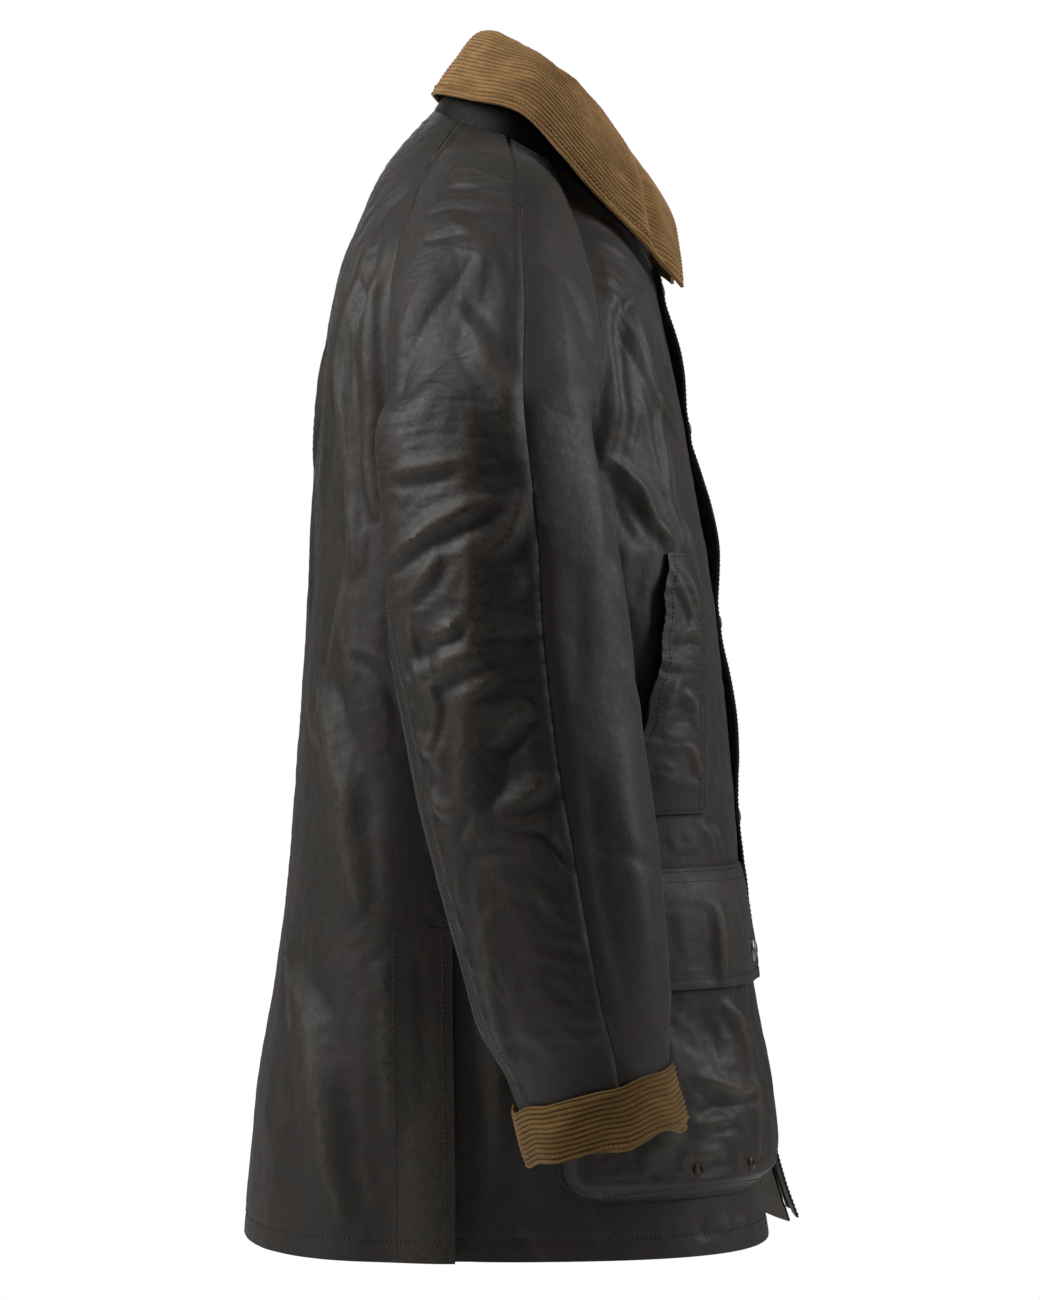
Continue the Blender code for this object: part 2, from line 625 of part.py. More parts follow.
def sleeve_axis(grid):
    """A point inside the sleeve for each of its rows."""
    sections = sleeve_sections()
    centres = []
    for station in SLEEVE_STATIONS:
        section = section_at(sections, station)
        inside = section.crest + (section.back_in + section.front_in) * 0.6
        centres.append(inside)
    return np.array(centres)


# ---------------------------------------------------------------- cloth panels as solids
def inset_vectors(panels):
    """For each panel, how its points move one wall inwards. Panels that meet share the move."""
    shared = {}
    for grid, normals in panels.values():
        for point, normal in zip(grid.reshape(-1, 3), normals.reshape(-1, 3)):
            shared.setdefault(tuple(np.round(point, 5)), []).append(normal)
    result = {}
    for name, (grid, normals) in panels.items():
        moves = np.zeros_like(grid)
        for i in range(grid.shape[0]):
            for j in range(grid.shape[1]):
                meeting = np.array(shared[tuple(np.round(grid[i, j], 5))])
                mean = unit(meeting.sum(axis=0))
                lean = max(float((meeting @ mean).mean()), 0.6)
                moves[i, j] = -mean / lean
        result[name] = moves
    return result


def cloth_panels():
    """Every waxed panel's grid and normals, by name."""
    back = back_half()
    front = front_half()
    sleeve_back = sleeve_half(True)
    sleeve_front = sleeve_half(False)
    lap = lapped(back, front)
    whole_back = np.concatenate([mirrored(lap)[:, :0:-1], lap], axis=1)
    left_front = tucked(swung(front))
    right_front = mirrored(tucked(front))
    panels = {"back": (whole_back, body_axis(whole_back)),
              "front_left": (left_front, body_axis(left_front)),
              "front_right": (right_front, body_axis(right_front))}
    for name, grid in (("sleeve_back", sleeve_back), ("sleeve_front", sleeve_front)):
        axis = sleeve_axis(grid)
        panels[name + "_left"] = (grid, axis)
        panels[name + "_right"] = (mirrored(grid), axis * np.array([-1.0, 1.0, 1.0]))
    return {name: (grid, grid_normals(grid, axis)) for name, (grid, axis) in panels.items()}


def make_panels(panels):
    """The body and the sleeves."""
    insets = inset_vectors(panels)
    for name, (grid, _) in panels.items():
        outer = grid + trimmed(grid)
        if name.startswith("sleeve_back"):
            for row in (UNDERARM, UNDERARM + 1):
                outer[row, 0] += unit(grid[row, 1] - grid[row, 0]) * CROTCH_TRIM
        wall(name, outer, outer + insets[name] * WAXED_WALL, WAXED)


def make_cuffs():
    """A turned-back corduroy band round the end of each sleeve, on the sleeve's own turns."""
    sleeve = ring_section(RINGS[-1])
    back = np.linspace(sleeve.back_turn, sleeve.outer_turn, SLEEVE_BACK_CELLS + 1)
    front = np.linspace(sleeve.outer_turn, sleeve.front_turn, SLEEVE_FRONT_CELLS + 1)
    turns = np.concatenate([back, front[1:-1]])
    outer = []
    inner = []
    for row in CUFF_RINGS:
        section = ring_section(row)
        outer.append([round_sleeve(section, turn) for turn in turns])
        inner.append([round_sleeve(section, turn, -CORD_WALL - SEAM_GAP) for turn in turns])
    for side, flip in (("left", 1.0), ("right", -1.0)):
        scale = np.array([flip, 1.0, 1.0])
        wall("cuff_" + side, np.array(outer) * scale, np.array(inner) * scale, CORDUROY, closed=True)


def collar_lines(row):
    """The neck and roll points of a collar section, and its directions up and out."""
    neck = np.array([row.neck_x, row.neck_y, row.neck_z])
    roll = np.array([row.roll_x, row.roll_y, row.roll_z])
    up = unit(roll - neck)
    out = np.array([row.neck_x, row.neck_y + 0.020, 0.0])
    out = unit(out - up * float(out @ up))
    return neck, roll, up, out


def make_collar():
    """The corduroy collar: up inside the neck, over the roll and down to the fall's edge."""
    rows = []
    for row in COLLAR:
        neck, roll, up, out = collar_lines(row)
        edge = np.array([row.edge_x, row.edge_y, row.edge_z])
        inside = -out * COLLAR_INSIDE
        brow = roll + out * ROLL_OUTER - up * ROLL_SHOULDER
        rows.append([
            neck + inside + up * COLLAR_FOOT,
            neck + (roll - neck) * COLLAR_BEND[0] + inside,
            neck + (roll - neck) * COLLAR_BEND[1] + inside,
            roll - out * ROLL_HALF - up * ROLL_SHOULDER,
            roll,
            brow,
            (brow + edge) / 2 + out * row.belly,
            edge,
        ])
    half = np.array(rows).transpose(1, 0, 2)
    grid = np.concatenate([mirrored(half)[:, :0:-1], half], axis=1)
    down = np.gradient(grid, axis=0)
    across = np.gradient(grid, axis=1)
    normals = np.cross(down, across)
    normals /= np.linalg.norm(normals, axis=2, keepdims=True)
    if normals[4, half.shape[1] - 1, 2] < 0:
        normals = -normals
    wall("collar", grid, grid - normals * CORD_WALL, CORDUROY)


def make_stand():
    """The waxed band that the collar folds over."""
    rows = []
    outs = []
    for row in COLLAR:
        neck, roll, up, out = collar_lines(row)
        foot = neck + up * STAND_FOOT
        top = roll - up * STAND_DROP
        rows.append([top, (foot + top) / 2, foot])
        outs.append(out)
    half = np.array(rows).transpose(1, 0, 2)
    outs = np.array(outs)
    grid = np.concatenate([mirrored(half)[:, :0:-1], half], axis=1)
    moves = np.concatenate([mirrored(outs)[:0:-1], outs])
    wall("collar_stand", grid, grid - moves[None] * WAXED_WALL, WAXED_DARK)


def front_edge_y(front, z):
    """Where a front's middle edge lies at a height, on its facets."""
    return float(np.interp(-z, -front[3:, 0, 2], front[3:, 0, 1]))


def fly_lift(z):
    """How far the fly's free edge stands off the right front at a height."""
    for upper, lower, swell in zip(FLY_SNAPS, FLY_SNAPS[1:], FLY_SWELLS):
        if lower <= z <= upper:
            t = (upper - FLY_FLAT - z) / (upper - lower - 2 * FLY_FLAT)
            return FLY_SNAPPED + swell * math.sin(math.pi * min(max(t, 0.0), 1.0)) ** 0.8
    if z > FLY_SNAPS[0]:
        return FLY_SNAPPED
    t = max(0.0, (FLY_SNAPS[-1] - FLY_FLAT - z) / (FLY_SNAPS[-1] - FLY_FLAT - FLY_FOOT))
    return FLY_SNAPPED + FLY_FLARE * t ** 1.5


def fly_levels(front):
    """Heights of the fly's rows: the front's own, and those that its waves need."""
    levels = {FLY_TOP, FLY_FOOT}
    levels |= {z for z in front[3:, 0, 2] if FLY_FOOT < z < FLY_TOP}
    for upper, lower in zip(FLY_SNAPS, FLY_SNAPS[1:]):
        levels |= {upper - FLY_FLAT, upper * 0.5 + lower * 0.5, lower + FLY_FLAT}
    levels |= {FLY_SNAPS[0] + FLY_FLAT, FLY_SNAPS[-1] - FLY_FLAT}
    kept = []
    for z in sorted(levels, reverse=True):
        if not kept or kept[-1] - z > FLY_STEP:
            kept.append(float(z))
    return kept[:-1] + [FLY_FOOT]


def make_fly(right, left):
    """The storm fly, stitched to the left front and lapped over the right."""
    rows = []
    for z in fly_levels(right):
        root = front_edge_y(left, z)
        free = front_edge_y(right, z)
        row = []
        for x in (FLY_ROOT_X, FRONT_EDGE, FLY_MIDDLE_X, FLY_EDGE_X):
            across = (FLY_ROOT_X - x) / (FLY_ROOT_X - FLY_EDGE_X)
            over_right = max(0.0, (FRONT_EDGE - x) / (FRONT_EDGE - FLY_EDGE_X))
            base = root + (free - root) * over_right
            row.append((x, base - WAXED_WALL - SEAM_GAP - fly_lift(z) * across ** 1.4, z))
        rows.append(row)
    grid = np.array(rows)
    wall("storm_fly", grid, grid + np.array([0.0, WAXED_WALL, 0.0]), WAXED)
    return grid


def make_zip(right, left):
    """The zip's tape and chain, behind the two front edges."""
    levels = [z for z in right[3:, 0, 2] if ZIP_FOOT < z < ZIP_TOP]
    rows = []
    for z in [ZIP_TOP] + levels + [ZIP_FOOT]:
        deep = max(front_edge_y(right, z), front_edge_y(left, z)) + WAXED_WALL + ZIP_CLEAR
        if z > ZIP_DEEP_TOP:
            deep += (z - ZIP_DEEP_TOP) * ZIP_DEEP_SLOPE
        rows.append([(-ZIP_HALF, deep, z), (ZIP_HALF, deep, z)])
    grid = np.array(rows)
    wall("zip", grid, grid + np.array([0.0, ZIP_WALL, 0.0]), TAPE)


def row_index(grid, z):
    """The row of a panel, with its fraction, that lies at a height."""
    heights = grid[:, POCKET_FIRST, 2]
    return float(np.interp(-z, -heights[UNDERARM:], np.arange(UNDERARM, len(heights))))


def lifted(grid, normals, row, col, lift):
    """A point of a panel, moved out."""
    return read_grid(grid, row, col) + unit(read_grid(normals, row, col)) * lift


def bag_columns():
    """The bag's columns on the front, with the brow of its gusset just inside each edge."""
    inner = [float(c) for c in range(POCKET_FIRST + 1, POCKET_LAST)]
    return [POCKET_FIRST, POCKET_FIRST + BAG_EDGE] + inner + [POCKET_LAST - BAG_EDGE, POCKET_LAST]


def sewn_on(name, grid, normals, heights, columns, lifts):
    """A piece that follows a front: its rows' heights, and each row's columns and lifts."""
    outer = []
    inner = []
    for z, cols, reaches in zip(heights, columns, lifts):
        row = row_index(grid, z)
        places = list(zip(cols, reaches))
        outer.append([lifted(grid, normals, row, col, lift) for col, lift in places])
        inner.append([lifted(grid, normals, row, col, lift - WAXED_WALL) for col, lift in places])
    wall(name, np.array(outer), np.array(inner), WAXED)


def make_bellows(side, grid, normals):
    """One bellows pocket: its bag, its flap, and the snaps and eyelets on them."""
    columns = bag_columns()
    middle = len(columns) - 2
    heights = [level.z for level in BAG_ROWS]
    lifts = [[SEWN_LIFT] + [level.reach] * middle + [SEWN_LIFT] for level in BAG_ROWS]
    sewn_on("bellows_bag_" + side, grid, normals, heights, [columns] * len(heights), lifts)
    columns = list(range(POCKET_FIRST, POCKET_LAST + 1))
    heights = [level.z for level in FLAP_ROWS]
    lifts = [[level.reach] * len(columns) for level in FLAP_ROWS]
    sewn_on("pocket_flap_" + side, grid, normals, heights, [columns] * len(heights), lifts)
    row = row_index(grid, FLAP_SNAP_Z)
    stand = column(FLAP_ROWS, "reach", FLAP_SNAP_Z) + SEAM_GAP
    for k, col in enumerate(FLAP_SNAP_COLUMNS, 1):
        centre = lifted(grid, normals, row, col, stand)
        make_snap(f"snap_flap_{side}_{k}", centre, read_grid(normals, row, col))
    row = row_index(grid, EYELET_Z)
    stand = column(BAG_ROWS, "reach", EYELET_Z) + SEAM_GAP
    for k, col in enumerate(EYELET_COLUMNS, 1):
        centre = lifted(grid, normals, row, col, stand)
        make_eyelet(f"eyelet_{side}_{k}", centre, read_grid(normals, row, col))


def make_snap(name, centre, normal):
    """A snap's domed cap."""
    profile = [(0.0, 0.0), (SNAP_RADIUS, 0.0), (SNAP_RADIUS, SNAP_HEIGHT * 0.45),
               (SNAP_RADIUS * 0.6, SNAP_HEIGHT * 0.9), (0.0, SNAP_HEIGHT)]
    turned(name, centre, normal, profile, SNAP_SIDES, NICKEL)


def make_eyelet(name, centre, normal):
    """A drain hole's ring."""
    profile = [(EYELET_HOLE, 0.0), (EYELET_RADIUS, 0.0), (EYELET_RADIUS * 0.8, EYELET_HEIGHT),
               (EYELET_HOLE * 1.15, EYELET_HEIGHT)]
    turned(name, centre, normal, profile, EYELET_SIDES, BRASS)


def make_handwarmer(side, grid, normals):
    """A patch on the front, sewn at its top, foot and front edge and open at the rear."""
    fine = np.linspace(*PATCH_COLUMNS, 200)
    shares = np.linspace(0, 1, PATCH_CELLS + 1)
    rise = np.sin(np.minimum(shares * PATCH_STEEP, 1.0) * math.pi / 2)
    columns = []
    lifts = []
    for patch in HANDWARMER:
        row = row_index(grid, patch.z)
        depth = np.array([read_grid(grid, row, col)[1] for col in fine])
        sewn, free = np.interp([patch.sewn_y, patch.open_y], depth, fine)
        columns.append(sewn + (free - sewn) * shares)
        lifts.append(PATCH_LIFT + (patch.reach - PATCH_LIFT) * rise)
    heights = [patch.z for patch in HANDWARMER]
    sewn_on("handwarmer_" + side, grid, normals, heights, columns, lifts)


def make_fly_snaps(fly):
    """Snap caps down the storm fly."""
    heights = fly[:, 0, 2]
    normals = grid_normals(fly, np.array([[0.0, 0.0, z] for z in heights]))
    for k, z in enumerate(FLY_SNAPS, 1):
        row = float(np.interp(-z, -heights, np.arange(len(heights))))
        col = 2.0 + (FLY_SNAP_X - fly[0, 2, 0]) / (fly[0, 3, 0] - fly[0, 2, 0])
        normal = unit(read_grid(normals, row, col))
        make_snap(f"snap_fly_{k}", read_grid(fly, row, col) + normal * SNAP_CLEAR, normal)


def clear_scene():
    """Remove what the new file came with."""
    for item in list(bpy.data.objects):
        bpy.data.objects.remove(item, do_unlink=True)


def main():
    """Build the jacket."""
    clear_scene()
    panels = cloth_panels()
    make_panels(panels)
    make_cuffs()
    make_collar()
    make_stand()
    right = panels["front_right"][0]
    left = panels["front_left"][0]
    fly = make_fly(right, left)
    make_fly_snaps(fly)
    make_zip(right, left)
    for side in ("left", "right"):
        grid, normals = panels["front_" + side]
        make_bellows(side, grid, normals)
        make_handwarmer(side, grid, normals)


main()
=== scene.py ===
"""Waxed cotton jacket: raglan sleeves, corduroy collar and cuffs, storm fly, bellows pockets.

Laid out as an add-on and run as a script. Metres, +Z up; the wearer faces -Y and the wearer's left
is +X. The tables give the left half of the jacket; the right half mirrors it.
"""
import copy
import functools
import math
from collections import namedtuple

import bpy
import numpy as np
from bpy.props import FloatProperty, FloatVectorProperty, PointerProperty
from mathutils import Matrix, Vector


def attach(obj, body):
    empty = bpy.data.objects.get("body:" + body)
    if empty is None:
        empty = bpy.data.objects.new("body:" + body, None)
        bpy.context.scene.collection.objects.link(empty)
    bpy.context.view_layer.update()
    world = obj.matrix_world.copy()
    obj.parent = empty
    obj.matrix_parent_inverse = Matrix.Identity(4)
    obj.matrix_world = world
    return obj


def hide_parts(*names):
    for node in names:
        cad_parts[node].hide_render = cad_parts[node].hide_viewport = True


bl_info = {
    "name": "Waxed jacket",
    "version": (1, 0, 0),
    "blender": (4, 5, 0),
    "location": "3D View > Sidebar > Jacket",
    "description": "Makes a waxed cotton jacket with corduroy collar and cuffs, and its studio",
    "category": "Object",
}

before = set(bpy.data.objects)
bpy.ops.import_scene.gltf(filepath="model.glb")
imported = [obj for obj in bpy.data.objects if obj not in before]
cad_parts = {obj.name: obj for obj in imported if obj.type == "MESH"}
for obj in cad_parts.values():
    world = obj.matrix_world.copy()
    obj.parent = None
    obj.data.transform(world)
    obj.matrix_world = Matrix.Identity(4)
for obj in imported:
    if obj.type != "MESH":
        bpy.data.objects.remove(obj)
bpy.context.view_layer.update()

# ---------------------------------------------------------------- body form
FRONT_EDGE = 0.004         # each front stops this far from the middle
VENT_TOP = -0.581          # side vents run from here to the hem
VENT_LAP = 0.027           # the back laps this far over the front at a vent
VENT_TUCK = 0.0036         # the front is tucked this far in under the back
VENT_GAPE = 0.0120         # and the back's lap stands this far off at the hem
HEM = -0.805

# Sections below the underarm: the side seam, the middle of the back and of the front, and how square
# the section is between them (2 is an ellipse).
Torso = namedtuple("Torso", "z side_x side_y back_y front_y back_square front_square")
TORSO = [
    Torso(-0.250, 0.2150, 0.026, 0.1380, -0.1330, 2.3, 2.9),
    Torso(-0.285, 0.2070, 0.040, 0.1395, -0.1385, 2.4, 3.1),
    Torso(-0.321, 0.2045, 0.050, 0.1410, -0.1455, 2.4, 3.3),
    Torso(-0.405, 0.2030, 0.060, 0.1455, -0.1560, 2.4, 3.4),
    Torso(-0.5015, 0.2020, 0.062, 0.1530, -0.1650, 2.4, 3.4),
    Torso(-0.567, 0.2040, 0.062, 0.1585, -0.1700, 2.4, 3.4),
    Torso(-0.622, 0.2070, 0.062, 0.1660, -0.1740, 2.4, 3.4),
    Torso(-0.700, 0.2110, 0.061, 0.1790, -0.1795, 2.5, 3.4),
    Torso(-0.765, 0.2135, 0.060, 0.1850, -0.1840, 2.5, 3.4),
    Torso(-0.805, 0.2150, 0.060, 0.1885, -0.1900, 2.5, 3.4),
]

# Above the underarm, row by row from the neck: the middle of the back and the front's inner edge, and
# how far round each panel has turned where it meets its raglan seam.
Yoke = namedtuple("Yoke", "back_y back_z back_bend front_x front_y front_z front_bend")
YOKE = [
    Yoke(0.0530, 0.004, 50, 0.068, -0.057, -0.058, 40),
    Yoke(0.0870, -0.036, 56, 0.052, -0.076, -0.074, 44),
    Yoke(0.1050, -0.075, 60, 0.030, -0.093, -0.090, 48),
    Yoke(0.1190, -0.112, 62, FRONT_EDGE, -0.105, -0.104, 52),
    Yoke(0.1270, -0.150, 64, FRONT_EDGE, -0.113, -0.140, 56),
    Yoke(0.1325, -0.190, 70, FRONT_EDGE, -0.121, -0.180, 62),
    Yoke(0.1360, -0.225, 80, FRONT_EDGE, -0.128, -0.217, 74),
    Yoke(0.1380, -0.250, 90, FRONT_EDGE, -0.133, -0.250, 90),
]
UNDERARM = len(YOKE) - 1

# The left front swings forward at its lower corner.
Swing = namedtuple("Swing", "z reach")
LEFT_SWING = [Swing(-0.250, 0.0), Swing(-0.650, 0.0), Swing(-0.720, 0.006), Swing(-0.805, 0.020)]
SWING_WIDTH = 0.11

# ---------------------------------------------------------------- sleeve form
# The raglan seams and the crest over the shoulder, from the neck to the underarm, with the turn in
# degrees round the sleeve from its crest to each seam, and the turn at which the outer seam lies.
Raglan = namedtuple("Raglan", "crest_x crest_y crest_z back_x back_y back_z back_turn "
                              "front_x front_y front_z front_turn outer_turn")
RAGLAN = [
    Raglan(0.083, -0.003, -0.024, 0.060, 0.034, -0.010, 65, 0.079, -0.036, -0.043, 60, 0),
    Raglan(0.140, -0.002, -0.046, 0.098, 0.052, -0.042, 70, 0.104, -0.048, -0.080, 66, 6),
    Raglan(0.192, 0.001, -0.077, 0.135, 0.065, -0.078, 76, 0.134, -0.058, -0.113, 72, 11),
    Raglan(0.237, 0.004, -0.119, 0.168, 0.074, -0.114, 84, 0.162, -0.065, -0.146, 80, 14),
    Raglan(0.268, 0.006, -0.158, 0.191, 0.077, -0.152, 96, 0.184, -0.068, -0.180, 92, 16),
    Raglan(0.290, 0.008, -0.192, 0.206, 0.070, -0.192, 114, 0.201, -0.060, -0.212, 112, 17),
    Raglan(0.303, 0.009, -0.212, 0.2135, 0.051, -0.228, 142, 0.2115, -0.032, -0.239, 146, 18),
]

# Full rings from the underarm down: outermost and innermost points, half-width fore and aft, how much
# higher the front of the ring is per metre, and the turns of the outer and the inner seam.
Ring = namedtuple("Ring", "out_x out_y out_z in_x in_y in_z half lean outer_turn inner_turn")
RINGS = [
    Ring(0.311, 0.010, -0.224, 0.2150, 0.026, -0.250, 0.0730, 0.00, 19, -180),
    Ring(0.319, 0.006, -0.270, 0.2170, 0.012, -0.296, 0.0750, 0.05, 19, -128),
    Ring(0.328, 0.001, -0.318, 0.2180, 0.003, -0.338, 0.0785, 0.08, 18, -92),
    Ring(0.332, -0.004, -0.372, 0.2185, -0.004, -0.384, 0.0800, 0.12, 16, -76),
    Ring(0.335, -0.011, -0.424, 0.2210, -0.011, -0.432, 0.0780, 0.15, 15, -70),
    Ring(0.337, -0.020, -0.478, 0.2250, -0.020, -0.482, 0.0765, 0.17, 14, -68),
    Ring(0.338, -0.030, -0.530, 0.2310, -0.030, -0.532, 0.0735, 0.18, 14, -68),
    Ring(0.337, -0.039, -0.582, 0.2360, -0.039, -0.580, 0.0690, 0.18, 15, -68),
    Ring(0.334, -0.047, -0.628, 0.2395, -0.047, -0.624, 0.0640, 0.20, 17, -68),
    Ring(0.3295, -0.0560, -0.660, 0.2405, -0.0560, -0.656, 0.0545, 0.25, 19, -68),
    Ring(0.3282, -0.0610, -0.686, 0.2408, -0.0610, -0.684, 0.0492, 0.28, 20, -68),
]
CUFF_RINGS = [
    Ring(0.3330, -0.0590, -0.6785, 0.2360, -0.0590, -0.6785, 0.0545, 0.28, 20, -68),
    Ring(0.3320, -0.0640, -0.6980, 0.2365, -0.0640, -0.6980, 0.0548, 0.26, 20, -68),
    Ring(0.3305, -0.0690, -0.7170, 0.2375, -0.0690, -0.7170, 0.0540, 0.24, 20, -68),
]

# ---------------------------------------------------------------- collar form
# From the middle of the back to the middle of the front: the neck seam, the top of the roll, the lower
# edge of the fall, and how far the fall bellies out.
Collar = namedtuple("Collar", "neck_x neck_y neck_z roll_x roll_y roll_z edge_x edge_y edge_z belly")
COLLAR = [
    Collar(0.000, 0.053, 0.004, 0.000, 0.013, 0.063, 0.000, 0.054, 0.018, 0.002),
    Collar(0.034, 0.047, 0.000, 0.033, 0.009, 0.060, 0.043, 0.046, 0.013, 0.003),
    Collar(0.060, 0.034, -0.010, 0.056, -0.005, 0.051, 0.075, 0.026, 0.005, 0.004),
    Collar(0.083, -0.003, -0.024, 0.070, -0.028, 0.036, 0.101, -0.009, -0.006, 0.004),
    Collar(0.079, -0.036, -0.043, 0.069, -0.050, 0.020, 0.108, -0.041, -0.038, 0.005),
    Collar(0.068, -0.057, -0.058, 0.060, -0.067, 0.003, 0.103, -0.066, -0.066, 0.006),
    Collar(0.052, -0.076, -0.074, 0.046, -0.082, -0.016, 0.093, -0.088, -0.087, 0.007),
    Collar(0.030, -0.093, -0.090, 0.028, -0.093, -0.031, 0.077, -0.110, -0.108, 0.008),
    Collar(0.007, -0.105, -0.104, 0.008, -0.101, -0.040, 0.050, -0.129, -0.127, 0.008),
]
STAND_FOOT = 0.0016        # the stand starts this far above the neck seam
STAND_TUCK = 0.0040        # its sewn edge goes this far down inside the neck
STAND_SINK = 0.0024
STAND_DROP = 0.0075        # and stops this far below the top of the roll
COLLAR_FOOT = 0.0032       # the collar's inside edge lies this far above the neck seam
COLLAR_INSIDE = 0.0048     # the collar's inside face lies this far inside the neck seam
ROLL_HALF = 0.0046
ROLL_OUTER = 0.0040
ROLL_SHOULDER = 0.0035

# ---------------------------------------------------------------- fly, zip and pockets
FLY_ROOT_X = 0.020         # the fly is stitched to the left front here
FLY_EDGE_X = -0.045        # and its free edge lies here, over the right front
FLY_TOP = -0.110
FLY_FOOT = -0.796
FLY_SNAPS = [-0.128, -0.228, -0.368, -0.508, -0.648]
FLY_SWELLS = [0.0040, 0.0080, 0.0050, 0.0025]   # how far its free edge stands off between two snaps
FLY_SNAPPED = 0.0012
FLY_FLAT = 0.012
FLY_FLARE = 0.020
ZIP_HALF = 0.015
ZIP_TOP = -0.112
ZIP_FOOT = -0.715
ZIP_DEEP_TOP = -0.200      # it lies deeper above here, where the fronts curve away to the neck
ZIP_DEEP_SLOPE = 0.022

# Where the pockets lie on a front: shares of the way from its middle edge to its side seam.
BAG_FIRST = 2 / 12
BAG_LAST = 9 / 12
Lift = namedtuple("Lift", "z reach")
BAG_ROWS = [Lift(-0.560, 0.0080), Lift(-0.590, 0.0110), Lift(-0.622, 0.0125), Lift(-0.670, 0.0140),
            Lift(-0.720, 0.0140), Lift(-0.757, 0.0115), Lift(-0.765, 0.0021)]
FLAP_ROWS = [Lift(-0.539, 0.0021), Lift(-0.549, 0.0085), Lift(-0.563, 0.0120), Lift(-0.590, 0.0145),
             Lift(-0.622, 0.0155)]
SEWN_LIFT = 0.0021
FLAP_SNAP_SHARES = [3 / 12, 8 / 12]
FLAP_SNAP_Z = -0.600

Patch = namedtuple("Patch", "z sewn_y open_y reach")
HANDWARMER = [
    Patch(-0.321, -0.128, -0.110, 0.0024), Patch(-0.340, -0.133, -0.111, 0.007),
    Patch(-0.360, -0.136, -0.112, 0.011), Patch(-0.405, -0.138, -0.108, 0.014),
    Patch(-0.450, -0.138, -0.098, 0.013), Patch(-0.485, -0.138, -0.085, 0.008),
    Patch(-0.5015, -0.138, -0.078, 0.0026),
]
PATCH_LIFT = 0.0028

# ---------------------------------------------------------------- creases
# Each crease as the side view shows it. Its height is negative for a hollow, and its shade is how deep a
# hollow runs along its lower front side, as a share of its height.
Crease = namedtuple("Crease", "points width height shade")


def creases(*rows):
    """Creases from rows of half-width and height in tenths of a millimetre, shade, and y, z, ... in mm."""
    return [Crease([(y / 1000, z / 1000) for y, z in zip(row[3::2], row[4::2])],
                   row[0] / 10000, row[1] / 10000, row[2]) for row in rows]


SLEEVE_CREASES = creases(
    (130, -88, -0.8, 20, -121, 37, -145, 51, -173, 71, -207, 78, -232),
    (70, 34, 0.4, 34, -150, 10, -194, 0, -218, -4, -247, -5, -268),
    (50, 14, 0.3, 5, -118, 1, -159, -1, -194),
    (40, -12, 0, 37, -51, 23, -51, 9, -57, -4, -65),
    (40, 12, 0.6, 37, -65, 15, -64, -4, -70),
    (45, -16, 0, 45, -71, 30, -70, 13, -74, -9, -82),
    (50, -18, 0, 53, -89, 39, -85, 15, -88, -12, -89),
    (45, -14, 0, 56, -110, 37, -106, 16, -110),
    (90, 22, 0.5, 70, -270, 40, -262, 14, -270),
    (62, 50, 1, 78, -329, 58, -313, 39, -304, 27, -296, 10, -290),
    (48, 34, 0.8, -13, -280, -7, -307, 1, -321, 14, -330),
    (46, -26, 0, 14, -299, 27, -309, 38, -323),
    (56, 30, 0.8, 43, -322, 52, -338, 64, -353),
    (40, 18, 0.6, -13, -332, -6, -355),
    (50, 16, 0.9, 10, -373, -4, -371, -20, -370),
    (60, -14, 0, 70, -398, 55, -390, 44, -386),
    (60, 40, 0.9, 13, -392, 34, -400, 46, -412),
    (50, 34, 0.9, -19, -424, -4, -429, 3, -442, 8, -450),
    (80, -40, 0, -6, -430, 1, -472, 11, -496),
    (36, -28, 0, 21, -490, 26, -502, 28, -516),
    (50, 30, 0.8, -27, -468, -17, -482, 5, -494),
    (40, 22, 0.8, -31, -494, -17, -499, 2, -503),
    (36, -26, 0, -21, -506, -34, -518, -46, -534),
    (60, -22, 0, 24, -524, 2, -519, -17, -521),
    (56, 34, 0.8, 62, -440, 48, -452, 38, -470),
    (50, 30, 0.8, 52, -470, 44, -488, 30, -497),
    (90, 22, 0.4, 20, -545, 10, -590, -6, -630),
    (46, -26, 0, -1, -649, -14, -651, -27, -656),
    (100, -24, 0, -50, -329, -52, -375, -50, -421),
    (60, 22, 0.5, -76, -325, -82, -365),
    (60, 22, 0.5, -85, -385, -92, -425),
    (50, -20, 0, -58, -517, -78, -523, -100, -533),
    (120, 26, 0.3, -30, -130, -40, -175, -44, -235),
    (170, 50, 0.3, 24, -225, 22, -303, 21, -381, 26, -434, 25, -520),
    (40, 26, 0.9, 64, -368, 58, -398, 44, -426, 50, -462),
    (46, 24, 0.8, 52, -512, 45, -540, 40, -575),
    (56, 20, 0.6, 30, -530, 34, -566, 30, -606),
    (54, 24, 0.6, 12, -596, 5, -632, -4, -664),
    (50, -22, 0, 34, -632, 24, -650, 8, -652),
    (60, -18, 0, 50, -560, 40, -606, 28, -628),
    (100, 24, 0.4, -56, -190, -59, -270, -64, -340),
    (110, 26, 0.4, -76, -440, -86, -520, -98, -600),
    (100, -22, 0, -58, -460, -67, -550, -80, -620),
)
